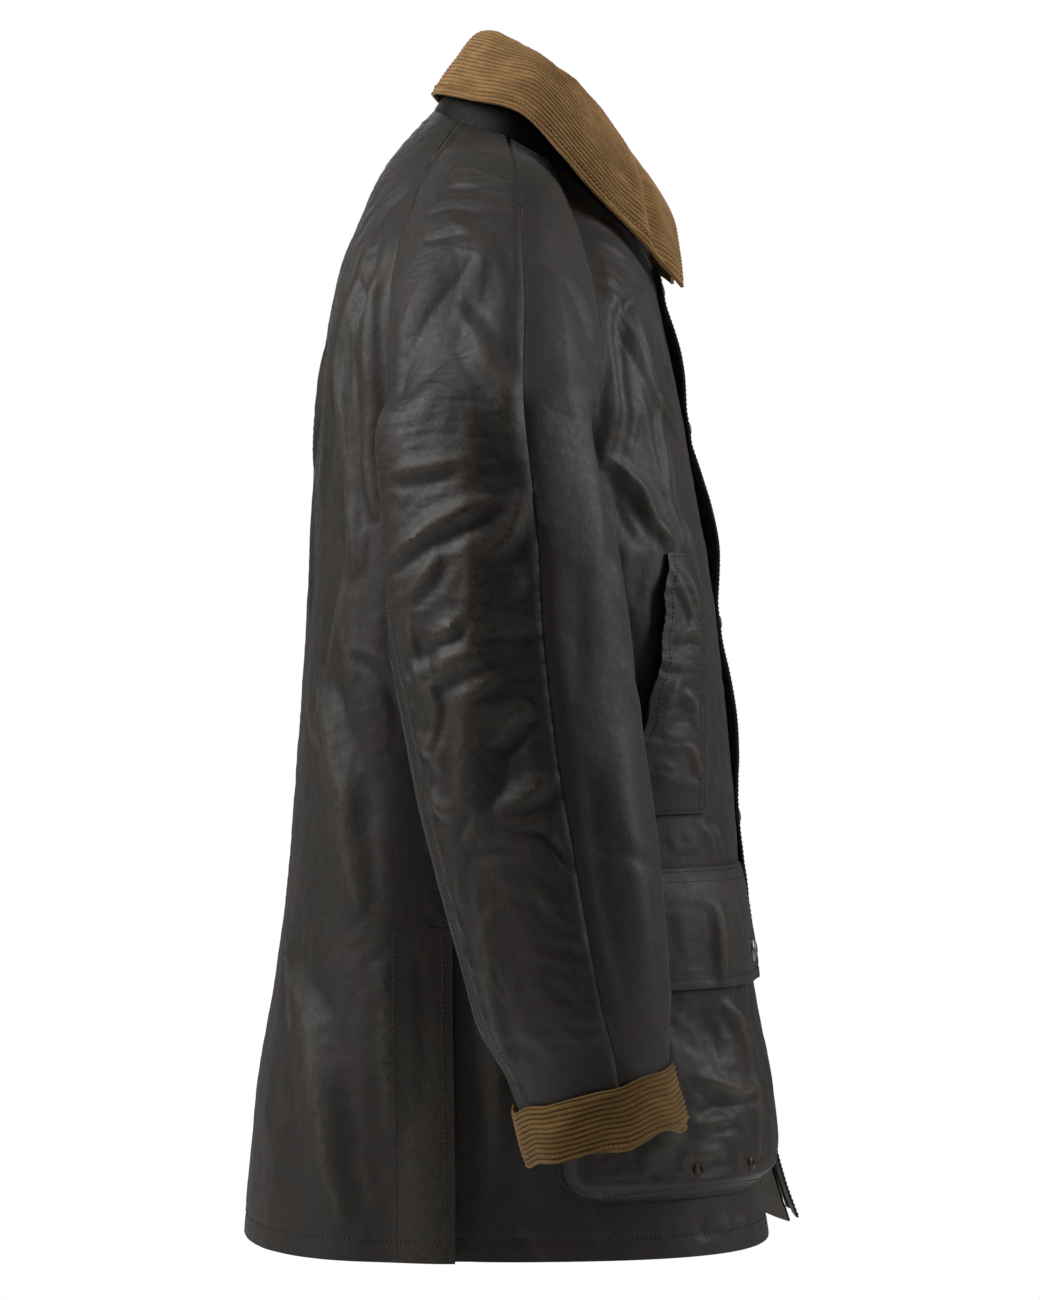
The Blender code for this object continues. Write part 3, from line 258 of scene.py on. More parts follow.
BACK_CREASES = creases(
    (85, 62, 0.5, 69, -83, 79, -126, 85, -135, 91, -152, 92, -204, 93, -251, 91, -277, 87, -300),
    (75, -50, 0, 100, -123, 98, -160, 97, -204, 93, -232),
    (95, 62, 0.4, 91, -98, 100, -126, 106, -145, 114, -180, 110, -234, 107, -286, 104, -313, 100, -336),
    (110, 40, 0.4, 102, -101, 113, -138, 120, -181, 125, -234, 130, -290),
    (100, 50, 0.6, 132, -405, 121, -437, 117, -466, 111, -494, 109, -519, 104, -544, 98, -572),
    (70, 30, 0.6, 139, -425, 125, -455),
    (110, 52, 0.5, 146, -610, 135, -655, 127, -700, 118, -744, 109, -785),
    (90, 40, 0.5, 154, -585, 148, -620, 146, -650),
    (120, 30, 0.3, 85, -600, 82, -660, 74, -720),
    (100, 30, 0.4, 110, -330, 112, -370, 104, -410),
)
FRONT_CREASES = creases(
    (52, 50, 0.6, -68, -124, -79, -143, -87, -162, -98, -192, -106, -212, -117, -227, -123, -235),
    (46, 36, 0.4, -106, -212, -110, -244, -113, -282, -119, -307),
    (40, 22, 0.4, -96, -212, -100, -242, -106, -265, -113, -282),
    (56, 52, 0.9, -76, -256, -83, -265, -95, -278, -102, -295, -110, -309, -113, -319),
    (110, -52, 0, -75, -262, -82, -292, -91, -319),
    (65, 54, 0.5, -61, -132, -72, -177, -76, -206, -76, -227, -71, -263),
    (90, -60, 0, -70, -132, -80, -170, -82, -205, -78, -240),
    (60, 40, 0.6, -47, -98, -58, -120, -66, -150),
    (70, 30, 0.4, -98, -133, -110, -175, -120, -205),
    (40, 36, 0.6, -109, -298, -114, -312, -113, -323),
    (46, 36, 0.7, -116, -284, -124, -308, -130, -336, -136, -360),
    (40, 30, 0.6, -127, -298, -134, -326, -139, -353),
    (60, 22, 0.4, -130, -380, -140, -430, -143, -490),
    (36, 26, 0.6, -146, -509, -150, -523, -154, -532),
    (36, 24, 0.6, -136, -507, -144, -520, -148, -532),
    (40, -26, 0, -136, -769, -137, -780, -136, -794),
    (36, 26, 0.6, -151, -767, -152, -780, -151, -792),
    (40, 30, 0.6, -165, -767, -167, -778, -164, -793),
    (44, 20, 0.4, -120, -769, -116, -783),
    (120, 34, 0.4, -40, -640, -36, -700, -30, -770),
    (120, 30, 0.4, 10, -600, 6, -660, 10, -740),
)
BAG_CREASES = creases(
    (60, 60, 0.5, -151, -629, -162, -646, -169, -662, -171, -674),
    (120, -50, 0, -134, -626, -143, -648, -150, -673),
    (50, 54, 0.9, -127, -681, -142, -686, -157, -690, -175, -694),
    (50, -56, 0, -129, -705, -150, -701, -157, -708, -167, -716),
    (40, 34, 0.8, -136, -713, -150, -710, -160, -712, -169, -721),
    (50, 40, 0.5, -172, -674, -175, -697, -177, -721, -178, -742),
    (44, 34, 0.8, -119, -742, -130, -732, -146, -733, -155, -740),
    (80, 26, 0.4, -94, -735, -108, -728, -126, -721),
    (60, -24, 0, -136, -751, -146, -744, -160, -742),
    (100, 24, 0.4, -112, -645, -117, -673, -114, -697),
)
PATCH_CREASES = creases(
    (40, 36, 0.8, -113, -325, -122, -343, -129, -360, -131, -374),
    (30, -24, 0, -117, -346, -124, -360, -129, -373),
    (40, 28, 0.6, -123, -325, -131, -346, -136, -366),
    (36, 34, 0.9, -117, -382, -124, -377, -131, -375, -136, -381),
    (34, -28, 0, -124, -388, -129, -382, -136, -389),
    (36, 28, 0.8, -110, -401, -117, -396, -123, -403),
    (44, 30, 0.6, -111, -428, -118, -417, -122, -406),
    (42, 34, 0.8, -125, -416, -131, -426, -135, -444),
    (50, -26, 0, -117, -447, -122, -433, -125, -423),
    (40, 26, 0.6, -129, -454, -134, -468, -139, -475),
    (90, 18, 0.3, -105, -471, -115, -478, -129, -480),
)
FLAP_CREASES = creases(
    (62, 56, 0.7, -147, -560, -150, -590, -152, -622),
    (100, -26, 0, -136, -562, -140, -596, -142, -619),
    (50, 20, 0.5, -158, -552, -162, -569, -165, -586),
)


# ---------------------------------------------------------------- curves and tables
def smooth(keys, values, at):
    """A smooth curve through the values that doesn't overshoot them, read at one place or many."""
    keys = np.asarray(keys, float)
    values = np.asarray(values, float)
    at = np.asarray(at, float)
    if keys[0] > keys[-1]:
        keys = -keys
        at = -at
    step = np.diff(keys)
    slope = np.diff(values) / step
    product = slope[:-1] * slope[1:]
    total = np.where(np.abs(slope[:-1] + slope[1:]) < 1e-12, 1.0, slope[:-1] + slope[1:])
    inner = np.where(product > 0, 2 * product / total, 0.0)
    tangent = np.concatenate([slope[:1], inner, slope[-1:]])
    at = np.clip(at, keys[0], keys[-1])
    i = np.clip(np.searchsorted(keys, at, side="right") - 1, 0, len(step) - 1)
    t = (at - keys[i]) / step[i]
    ends = (1 + 2 * t) * (1 - t) ** 2 * values[i] + t * t * (3 - 2 * t) * values[i + 1]
    return ends + step[i] * t * (1 - t) * ((1 - t) * tangent[i] - t * tangent[i + 1])


def column(table, name, at, key="z"):
    """A table's column read between its rows."""
    return smooth([getattr(row, key) for row in table], [getattr(row, name) for row in table], at)


def by_row(table, name, at):
    """A table's column read between its rows, by row number."""
    return smooth(range(len(table)), [getattr(row, name) for row in table], at)


def smooth_points(keys, points, at):
    """A smooth curve through points, read at one place or many."""
    points = np.asarray(points, float)
    return np.stack([smooth(keys, points[:, k], at) for k in range(points.shape[1])], axis=-1)


def bell(gap, width):
    """1 where the gap is nothing, and fading away on both sides."""
    return np.exp(-(gap / width) ** 2)


def ramp(value, start, end):
    """0 before start, 1 after end, and smooth between them."""
    t = np.clip((np.asarray(value, float) - start) / (end - start), 0.0, 1.0)
    return t * t * (3 - 2 * t)


def unit(vectors):
    """The same directions with a length of one."""
    length = np.linalg.norm(vectors, axis=-1, keepdims=True)
    return vectors / np.maximum(length, 1e-12)


def run_of(points):
    """How far along a line each of its points lies."""
    return np.insert(np.cumsum(np.linalg.norm(np.diff(points, axis=0), axis=1)), 0, 0.0)


def read_along(run, points, at):
    """Points between a line's own, at distances along it."""
    return np.column_stack([np.interp(at, run, points[:, k]) for k in range(3)])


def spaced(points, shares):
    """Points at the given shares of a fine line's length."""
    run = run_of(points)
    return read_along(run, points, np.asarray(shares) * run[-1])


# ---------------------------------------------------------------- panels of cloth
class Panel:
    """Cloth as a grid: rows run down it and columns across, with its flat size at each point."""

    def __init__(self, points, reference):
        self.points = np.asarray(points, float)
        self.reference = np.asarray(reference, float)
        shape = self.points.shape[:2]
        self.keep = np.ones((shape[0] - 1, shape[1] - 1), bool)
        self.toward_front = 1.0
        self.ridge = np.zeros(shape)
        # Ridge tops, which the waxed finish paints paler: partly rubbed wax, partly painted highlight.
        self.crest = np.zeros(shape)
        steps = (np.linalg.norm(np.diff(self.points, axis=k), axis=2) for k in (0, 1))
        self.down, self.across = (np.insert(np.cumsum(step, axis=k), 0, 0.0, axis=k)
                                  for k, step in enumerate(steps))

    def normals(self):
        """Unit normals that face away from the wearer."""
        turned = unit(np.cross(np.gradient(self.points, axis=1), np.gradient(self.points, axis=0)))
        away = self.points - self.reference[:, None, :]
        return -turned if (turned * away).sum() < 0 else turned

    def lift(self, height):
        """Moves every point out by its own height."""
        self.points = self.points + self.normals() * height[..., None]
        self.ridge = self.ridge + height

    def mirrored(self):
        """The same cloth on the other side of the jacket."""
        twin = copy.copy(self)
        for name in {"points", "reference", "base"} & vars(self).keys():
            setattr(twin, name, getattr(self, name) * FLIP)
        return twin

    def part(self, first, last):
        """The columns from first to last as a panel of their own."""
        piece = Panel(self.points[:, first:last + 1], self.reference)
        for name in ("across", "down", "ridge", "crest"):
            setattr(piece, name, getattr(self, name)[:, first:last + 1])
        return piece

    def crowd(self, column, beside, share):
        """Moves one column close to another, so that a seam between them is crisp."""
        for grid in (self.points, self.across, self.down):
            grid[:, column] = grid[:, beside] + share * (grid[:, column] - grid[:, beside])

    def read(self, row, col, array):
        """Points, or another array of the grid, read between its rows and columns."""
        row = np.clip(row, 0, array.shape[0] - 1.001)
        col = np.clip(col, 0, array.shape[1] - 1.001)
        i = row.astype(int)
        j = col.astype(int)
        s = (row - i)[..., None]
        t = (col - j)[..., None]
        upper = array[i, j] * (1 - t) + array[i, j + 1] * t
        lower = array[i + 1, j] * (1 - t) + array[i + 1, j + 1] * t
        return upper * (1 - s) + lower * s


FLIP = np.array([-1.0, 1.0, 1.0])
SIDES = ("left", "right")


def point_of(row, name):
    """One of a table row's points."""
    return np.array([getattr(row, f"{name}_{axis}") for axis in "xyz"])


def neck_curve(at):
    """The left half of the neck seam by row number of the collar's table, smooth over the back."""
    points = [point_of(COLLAR[1], "neck") * FLIP] + [point_of(row, "neck") for row in COLLAR]
    return smooth_points(range(-1, len(COLLAR)), points, at)


def raglan_curve(edge, at):
    """The left raglan seam on the sleeve's back or front edge, by row number, to the underarm."""
    points = [point_of(row, edge) for row in RAGLAN] + [point_of(RINGS[0], "in")]
    return smooth_points(range(len(points)), points, at)


def panel_row(middle, seam, bend, square, shares):
    """A panel's row from its middle to its seam, along a rounded-square section turned by bend."""
    angle = np.linspace(0.0, math.radians(bend), 160)
    power = 2.0 / square
    across = np.sin(angle) ** power / math.sin(math.radians(bend)) ** power
    cosine = np.clip(np.cos(angle), 0.0, 1.0) ** power
    back = (1 - cosine) / (1 - cosine[-1])
    span = np.asarray(seam) - middle
    line = np.asarray(middle) + np.column_stack([span[0] * across, span[1] * back, span[2] * across])
    return spaced(line, shares)


def yoke_rows(cell):
    """Row numbers from the neck to the underarm, about one cell apart along the longer raglan seam."""
    fine = np.linspace(0, UNDERARM, 400)
    run = run_of(raglan_curve("back", fine))
    count = int(round(run[-1] / cell))
    return np.interp(np.linspace(0, run[-1], count + 1), run, fine)


def middle_line(side, z):
    """Where the middle of the back or the front lies at a height, from both tables."""
    rows = [(getattr(row, side + "_z"), getattr(row, side + "_y")) for row in YOKE]
    rows += [(row.z, getattr(row, side + "_y")) for row in TORSO[1:]]
    return smooth([row[0] for row in rows], [row[1] for row in rows], z)


ROUNDING_PASSES = 130
UNDERARM_SOFT = 0.036       # the cloth is rounded over this far above and below the underarm


def rounded_over(grid, row, shares, cell):
    """Rounds the cloth over above and below the underarm's row, away from its seams."""
    inner = np.arange(1, len(grid) - 1)
    soft = 0.5 * bell((inner - row) * cell, UNDERARM_SOFT)[:, None]
    soft = (soft * ramp(1 - shares, 0.0, 0.10) * ramp(shares, 0.0, 0.10))[..., None]
    for _ in range(ROUNDING_PASSES):
        grid[1:-1] += soft * (0.5 * (grid[2:] + grid[:-2]) - grid[1:-1])


def body_half(side, cell, cells):
    """The left half of the back, or the left front, from its middle to its seam."""
    shares = np.linspace(0, 1, cells + 1)
    square_name = side + "_square"
    top_square = getattr(TORSO[0], square_name)
    rows = []
    heights = []
    start = None
    for at in yoke_rows(cell):
        z = float(by_row(YOKE, side + "_z", at))
        if side == "back":
            middle = np.array([0.0, float(middle_line(side, z)), z])
            neck = spaced(neck_curve(np.linspace(0, 2, 60)), shares)
        else:
            middle = neck_curve(5 + at) if at < 3 else np.array([FRONT_EDGE, float(middle_line(side, z)), z])
            neck = spaced(neck_curve(np.linspace(5, 4, 60)), shares)
        bend = float(by_row(YOKE, side + "_bend", at))
        line = panel_row(middle, raglan_curve(side, at), bend, top_square, shares)
        if start is None:
            start = neck - line
        rows.append(line + start * (1 - ramp(at, 0.0, 1.2)))
        heights.append(z)
    underarm = len(rows) - 1
    count = int(round((TORSO[0].z - HEM) / cell))
    for z in np.linspace(TORSO[0].z, HEM, count + 1)[1:]:
        seam = (float(column(TORSO, "side_x", z)), float(column(TORSO, "side_y", z)), z)
        middle = np.array([FRONT_EDGE if side == "front" else 0.0, float(middle_line(side, z)), z])
        rows.append(panel_row(middle, seam, 90, float(column(TORSO, square_name, z)), shares))
        heights.append(z)
    grid = np.array(rows)
    rounded_over(grid, underarm, shares, cell)
    reference = np.array([[0.0, 0.0, row[:, 2].mean() - 0.02] for row in grid])
    panel = Panel(grid, reference)
    panel.heights = np.array(heights)
    return panel


# ---------------------------------------------------------------- the sleeve's sections
Section = namedtuple("Section", "crest back_in back_half front_in front_half lean "
                                "outer_turn back_turn front_turn")


def head_section(row):
    """A sleeve section between the raglan seams, from its three points."""
    crest = point_of(row, "crest")
    halves = []
    for edge in ("back", "front"):
        span = point_of(row, edge) - crest
        angle = math.radians(getattr(row, edge + "_turn"))
        halves += [np.array([span[0], 0.0, span[2]]) / (1 - math.cos(angle)), abs(span[1]) / math.sin(angle)]
    return Section(crest, *halves, 0.0, row.outer_turn, -row.back_turn, row.front_turn)


def ring_section(row):
    """A full sleeve ring."""
    crest = point_of(row, "out")
    inward = (point_of(row, "in") - crest) / 2
    return Section(crest, inward, row.half, inward, row.half, row.lean,
                   row.outer_turn, row.inner_turn, row.inner_turn + 360)


def section_at(sections, station):
    """A section between two stations."""
    values = []
    for field in Section._fields:
        samples = [np.atleast_1d(getattr(section, field)) for section in sections]
        read = smooth_points(range(len(sections)), samples, station)
        values.append(read if len(read) > 1 else float(read[0]))
    return Section(*values)


def round_sleeve(section, turns):
    """Points of a section at turns from its crest; positive turns go forwards."""
    angle = np.radians(turns)
    ahead = ((np.asarray(turns) + 180.0) % 360.0 - 180.0 > 0)[:, None]
    inward = np.where(ahead, section.front_in, section.back_in)
    half = np.where(ahead[:, 0], section.front_half, section.back_half)
    aft = -half * np.sin(angle)
    return (section.crest + inward * (1 - np.cos(angle))[:, None]
            + np.column_stack([np.zeros_like(aft), aft, -section.lean * aft]))


def sleeve_tube(cell, back_cells, front_cells):
    """The whole left sleeve opened at its inner seam: columns run back to front past the outer seam."""
    sections = [head_section(row) for row in RAGLAN] + [ring_section(row) for row in RINGS]
    back_shares = np.linspace(0, 1, back_cells + 1)
    front_shares = np.linspace(0, 1, front_cells + 1)
    fine = np.linspace(0, len(sections) - 1, 600)
    crest = np.array([section_at(sections, at).crest for at in fine])
    back_run = run_of(raglan_curve("back", np.minimum(fine, UNDERARM)))
    run = run_of(crest) + np.where(fine < UNDERARM, back_run, back_run[-1])
    count = int(round((run_of(crest)[-1] + 0.5 * back_run[-1]) / cell))
    stations = np.interp(np.linspace(0, run[-1], count + 1), run, fine)
    rows = []
    centres = []
    start = None
    for station in stations:
        section = section_at(sections, station)
        end = section.front_turn if station <= UNDERARM else section.back_turn + 360.0
        turns = np.concatenate([section.back_turn + (section.outer_turn - section.back_turn) * back_shares,
                                section.outer_turn + (end - section.outer_turn) * front_shares[1:]])
        line = round_sleeve(section, turns)
        if start is None:
            neck = np.concatenate([spaced(neck_curve(np.linspace(2, 3, 40)), back_shares),
                                   spaced(neck_curve(np.linspace(3, 4, 40)), front_shares)[1:]])
            start = neck - line
        line = line + start * (1 - ramp(station, 0.0, 1.2))
        if station < UNDERARM:
            place = np.linspace(0, 1, len(line))[:, None]
            line = line + (raglan_curve("back", station) - line[0]) * (1 - ramp(place, 0.0, 0.35))
            line = line + (raglan_curve("front", station) - line[-1]) * ramp(place, 0.65, 1.0)
        rows.append(line)
        centres.append(section.crest + (section.back_in + section.front_in) * 0.6)
    grid = np.array(rows)
    rounded_over(grid, int(np.searchsorted(stations, UNDERARM)), np.linspace(0, 1, grid.shape[1]), cell)
    panel = Panel(grid, np.array(centres))
    panel.across = panel.across - panel.across[:, back_cells:back_cells + 1]
    return panel


# ---------------------------------------------------------------- folds and creases
def gradient_noise(x, y, seed):
    """Smooth noise between about -1 and 1 over a plane, one cell a unit wide."""
    turns = np.random.default_rng(seed).uniform(0, 2 * math.pi, (64, 64))
    i = np.floor(x).astype(int)
    j = np.floor(y).astype(int)
    fx = x - i
    fy = y - j
    total = 0.0
    for di in (0, 1):
        for dj in (0, 1):
            turn = turns[(i + di) % 64, (j + dj) % 64]
            slope = np.cos(turn) * (fx - di) + np.sin(turn) * (fy - dj)
            wx = 1 - np.abs(fx - di)
            wy = 1 - np.abs(fy - dj)
            total = total + slope * wx * wx * (3 - 2 * wx) * wy * wy * (3 - 2 * wy)
    return total * 1.6


def laid_on(panel, crease, least):
    """A crease seen from the side, laid on the flat cloth of a panel on one side of the jacket."""
    facing = panel.normals()[..., 0] * np.sign(panel.points[..., 0].mean()) > least
    side_view = panel.points[..., 1:]
    points = []
    for place in crease.points:
        gap = np.linalg.norm(side_view - np.asarray(place), axis=2) + np.where(facing, 0.0, 1.0)
        i, j = np.unravel_index(np.argmin(gap), gap.shape)
        points.append((panel.across[i, j], panel.down[i, j]))
    return Crease(points, crease.width, crease.height, crease.shade)


def shifted(table, seed, reach):
    """The same creases as the other side of the jacket has them: moved, turned and of other depths."""
    rng = np.random.default_rng(seed)
    result = []
    for crease in table:
        points = np.asarray(crease.points)
        middle = points.mean(axis=0)
        turn = rng.normal(0, 0.16)
        spin = np.array([[math.cos(turn), -math.sin(turn)], [math.sin(turn), math.cos(turn)]])
        points = (points - middle) @ spin.T * rng.uniform(0.75, 1.2) + middle + rng.normal(0, reach, 2)
        height = crease.height * rng.uniform(0.55, 1.15)
        result.append(Crease(points, crease.width * rng.uniform(0.85, 1.2), height, crease.shade))
    return result


Strew = namedtuple("Strew", "across down count turn spread length width height")


def strewn(strews, seed):
    """Small creases scattered over parts of the flat cloth."""
    rng = np.random.default_rng(seed)
    result = []
    for strew in strews:
        for _ in range(strew.count):
            middle = np.array([rng.uniform(*strew.across), rng.uniform(*strew.down)])
            turn = math.radians(rng.normal(strew.turn, strew.spread))
            half = 0.5 * strew.length * rng.uniform(0.5, 1.5)
            along = np.array([math.cos(turn), math.sin(turn)])
            side = np.array([-along[1], along[0]]) * half * rng.uniform(-0.35, 0.35)
            points = [middle - along * half, middle + side, middle + along * half]
            height = strew.height * rng.uniform(0.4, 1.4) * rng.choice([1, 1, -1])
            width = strew.width * rng.uniform(0.7, 1.5)
            result.append(Crease(points, width, height, rng.uniform(0.2, 1.0)))
    return result


CRISPNESS = 0.90            # how narrow the creases are against their written widths
DRIFT = 0.0011              # how far a crease wanders off its line


def crease_height(panel, laid, seed):
    """How far each point of a panel stands out from its creases."""
    across = panel.across
    down = panel.down
    a = across + DRIFT * gradient_noise(across / 0.031, down / 0.031, seed)
    d = down + DRIFT * gradient_noise(across / 0.027 + 9.1, down / 0.027, seed + 1)
    total = np.zeros_like(a)
    for crease in laid:
        line = np.asarray(crease.points, float)
        fine = np.linspace(0, len(line) - 1, max(8, 6 * len(line)))
        line = smooth_points(range(len(line)), line, fine)
        reach = 3.6 * crease.width
        low = line.min(axis=0) - reach
        high = line.max(axis=0) + reach
        near = (a > low[0]) & (a < high[0]) & (d > low[1]) & (d < high[1])
        if not near.any():
            continue
        place = np.column_stack([a[near], d[near]])
        run = run_of(line)
        best = np.full(len(place), 9.0)
        sided = np.zeros(len(place))
        along = np.zeros(len(place))
        for k in range(len(line) - 1):
            span = line[k + 1] - line[k]
            length = max(np.linalg.norm(span), 1e-9)
            offset = place - line[k]
            t = np.clip(offset @ span / length ** 2, 0, 1)
            gap = np.linalg.norm(offset - t[:, None] * span, axis=1)
            closer = gap < best
            best = np.where(closer, gap, best)
            turned = np.sign(span[0] * offset[:, 1] - span[1] * offset[:, 0])
            sided = np.where(closer, gap * turned, sided)
            along = np.where(closer, (run[k] + t * length) / run[-1], along)
        width = CRISPNESS * crease.width * (0.75 + 0.5 * np.sin(math.pi * along) ** 0.8)
        fade = np.clip(np.sin(math.pi * along), 0, 1) ** 0.55
        cross = np.clip(1 - np.abs(sided) / (2.1 * width), 0, 1) ** 1.35
        chord = line[-1] - line[0]
        low_side = 1.0 if chord[0] * 0.8 - chord[1] * 0.6 * panel.toward_front > 0 else -1.0
        hollow = crease.shade * 0.75 * np.exp(-(low_side * sided / width - 1.7) ** 2 * 1.2)
        total[near] += crease.height * fade * (cross - hollow)
        # A pale band along each raised crease for the waxed finish: partly wax rubbed off the fold, partly
        # painted highlight on its ridge.
        rubbed = bell(sided, 0.45 * width + 0.0008) * fade
        panel.crest[near] += np.clip(crease.height / 0.0045, 0, 1) * rubbed
    return total


def creased(panel, table, seed, moved, strews=(), least=0.08, reach=0.012):
    """How far a panel stands out from its own creases, moved for the other side, and from scattered ones."""
    laid = [laid_on(panel, crease, least) for crease in table]
    if moved:
        laid = shifted(laid, seed, reach)
    laid += strewn(strews, seed)
    return crease_height(panel, laid, seed) * bpy.context.scene.jacket_sizes.crease_depth


def pulled(first, second, rest, share):
    """Moves pairs of points towards the distance that the cloth between them has."""
    gap = second - first
    length = np.sqrt((gap * gap).sum(axis=-1)) + 1e-12
    move = gap * (0.5 * share * (1 - rest / length))[..., None]
    first += move
    second -= move


def stretches(points, down, across):
    """The grid's points and those that lie some rows down and columns across from them."""
    rows, cols = points.shape[:2]
    left = max(0, -across)
    right = max(0, across)
    return points[:rows - down, left:cols - right], points[down:, right:cols - left]


# How a cloth settles: its spare length across and down it, how hard it is held to its place, how
# stiff it is to bend, how far in and out it may buckle, and how uneven it is before it settles.
Settle = namedtuple("Settle", "across down hold stiff low high uneven")
PASSES = 90
LINKS = [(0, 1), (1, 0), (1, 1), (1, -1)]
BENDS = [(0, 2), (2, 0), (0, 4), (4, 0), (3, 3), (3, -3)]


def settled(panel, height, settle, spare_across, spare_down, hold, seed):
    """Lets a panel's spare cloth buckle into folds round its creased form; gives its points' heights."""
    normals = panel.normals()
    base = panel.points
    noise = settle.uneven * gradient_noise(panel.across / 0.026, panel.down / 0.030, seed)
    noise += 0.35 * settle.uneven * gradient_noise(panel.across / 0.013, panel.down / 0.012, seed + 1)
    goal = base + normals * height[..., None]
    points = goal + normals * noise[..., None]
    spare = {(0, 1): settle.across * spare_across, (1, 0): settle.down * spare_down}
    spare[1, 1] = spare[1, -1] = 0.5 * (spare[0, 1] + spare[1, 0])
    rests = {}
    for link in LINKS:
        first, second = stretches(goal, *link)
        more = np.broadcast_to(spare[link], base.shape[:2])[..., None]
        rests[link] = np.linalg.norm(second - first, axis=2) * (1 + stretches(more, *link)[0][..., 0])
    for link in BENDS:
        first, second = stretches(goal, *link)
        rests[link] = np.linalg.norm(second - first, axis=2)
    firm = np.clip(settle.hold + hold, 0, 1)[..., None]
    for _ in range(PASSES):
        for link in LINKS:
            first, second = stretches(points, *link)
            for start in (0, 1):
                take = (slice(None), slice(start, None, 2)) if link == (0, 1) else slice(start, None, 2)
                pulled(first[take], second[take], rests[link][take], 0.9)
        for link in BENDS:
            pulled(*stretches(points, *link), rests[link], settle.stiff * 2 / max(link))
        points += firm * (goal - points)
        out = ((points - base) * normals).sum(axis=2)
        points += normals * (np.clip(out, settle.low, settle.high) - out)[..., None]
    rise = ((points - base) * normals).sum(axis=2)
    around = rise.copy()
    for axis in (0, 1):
        for step in (1, 2, 3):
            around += np.roll(rise, step, axis) + np.roll(rise, -step, axis)
    around /= 13
    # Points above their neighbours are marked for the waxed finish's painted highlight on ridge tops.
    panel.crest += np.clip((rise - around) / 0.0016, 0, 1)
    filled = np.clip(around - rise - 0.0011, 0, None)
    panel.points = points + normals * filled[..., None]
    panel.ridge = panel.ridge + rise + filled


def puckers(gap, along, depth, seed, reach=0.014, pitch=0.011):
    """Short ripples that run off a seam: gap is the distance from it and along the way down it."""
    ripple = gradient_noise(along / pitch, gap / 0.05 + seed, seed)
    return depth * ripple * np.exp(-gap / reach) * ramp(gap, 0.0, 0.003)


def felled(gap, band, height):
    """A lapped seam's raised band of the given width beside an edge."""
    return height * ramp(gap, 0.0, 0.0006) * (1 - ramp(gap, band, band + 0.0018))


# ---------------------------------------------------------------- meshes
def quads_of(panel, closed=False):
    """The grid's faces as corner numbers."""
    rows, cols = panel.points.shape[:2]
    index = np.arange(rows * cols).reshape(rows, cols)
    if closed:
        index[:, -1] = index[:, 0]
    quads = np.stack([index[:-1, :-1], index[1:, :-1], index[1:, 1:], index[:-1, 1:]], axis=-1)
    return quads[panel.keep]


def new_piece(name, vertices, faces, looks, crisp=None):
    """A piece from its corners and faces; where it is smooth, edges turned by more than crisp stay sharp."""
    mesh = bpy.data.meshes.new(name)
    mesh.from_pydata(vertices, [], faces)
    for look in looks:
        mesh.materials.append(look)
    if crisp:
        mesh.shade_smooth()
        mesh.set_sharp_from_angle(angle=math.radians(crisp))
    piece = bpy.data.objects.new(name, mesh)
    bpy.context.scene.collection.objects.link(piece)
    return piece


def shell(name, panel, wall, looks, closed=False):
    """A thin closed shell of cloth: the panel, its inner face and the edge between them."""
    outer = quads_of(panel, closed)
    points = panel.points.reshape(-1, 3)
    normals = panel.normals()
    if closed:
        normals[:, 0] = unit(normals[:, 0] + normals[:, -1])
    normals = normals.reshape(-1, 3)
    corner = points[outer]
    facing = np.cross(corner[:, 2] - corner[:, 0], corner[:, 3] - corner[:, 1])
    if (facing * normals[outer[:, 0]]).sum() < 0:
        outer = outer[:, ::-1]
    count = len(points)
    directed = np.concatenate([outer[:, [k, (k + 1) % 4]] for k in range(4)])
    keys = directed[:, 0] * count + directed[:, 1]
    edges = directed[~np.isin(keys, directed[:, 1] * count + directed[:, 0])]
    rim = np.column_stack([edges[:, 1], edges[:, 0], edges[:, 0] + count, edges[:, 1] + count])
    faces = np.concatenate([outer, outer[:, ::-1] + count, rim])
    vertices = np.concatenate([points, points - normals * wall])
    used = np.unique(faces)
    renumber = np.zeros(len(vertices), int)
    renumber[used] = np.arange(len(used))
    piece = new_piece(name, vertices[used].tolist(), renumber[faces].tolist(), looks, 60)
    mesh = piece.data
    inside = np.zeros(len(faces), np.int32)
    inside[len(outer):2 * len(outer)] = len(looks) - 1
    mesh.polygons.foreach_set("material_index", inside)
    loops = np.zeros(len(mesh.loops), np.int32)
    mesh.loops.foreach_get("vertex_index", loops)
    flat = np.tile(np.stack([panel.across, panel.down], axis=-1).reshape(-1, 2), (2, 1))[used]
    cloth_map = mesh.uv_layers.new(name="cloth")
    cloth_map.data.foreach_set("uv", flat[loops].astype(np.float32).ravel())
    # Heights and ridge tops for the finish, which paints highlight on ridges and shade in hollows from them.
    for key in ("ridge", "crest"):
        values = np.tile(getattr(panel, key).ravel(), 2)[used].astype(np.float32)
        mesh.attributes.new(key, "FLOAT", "POINT").data.foreach_set("value", values)
    piece["one_side_area"] = float(0.5 * np.linalg.norm(facing, axis=1).sum())
    piece["flat_width"] = float(np.ptp(panel.across))
    piece["flat_length"] = float(np.ptp(panel.down))
    return piece


def as_sheet(piece, nodes):
    """Hangs a shell of cloth from the root and hides the solids that it stands for."""
    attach(piece, "root")
    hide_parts(*nodes)


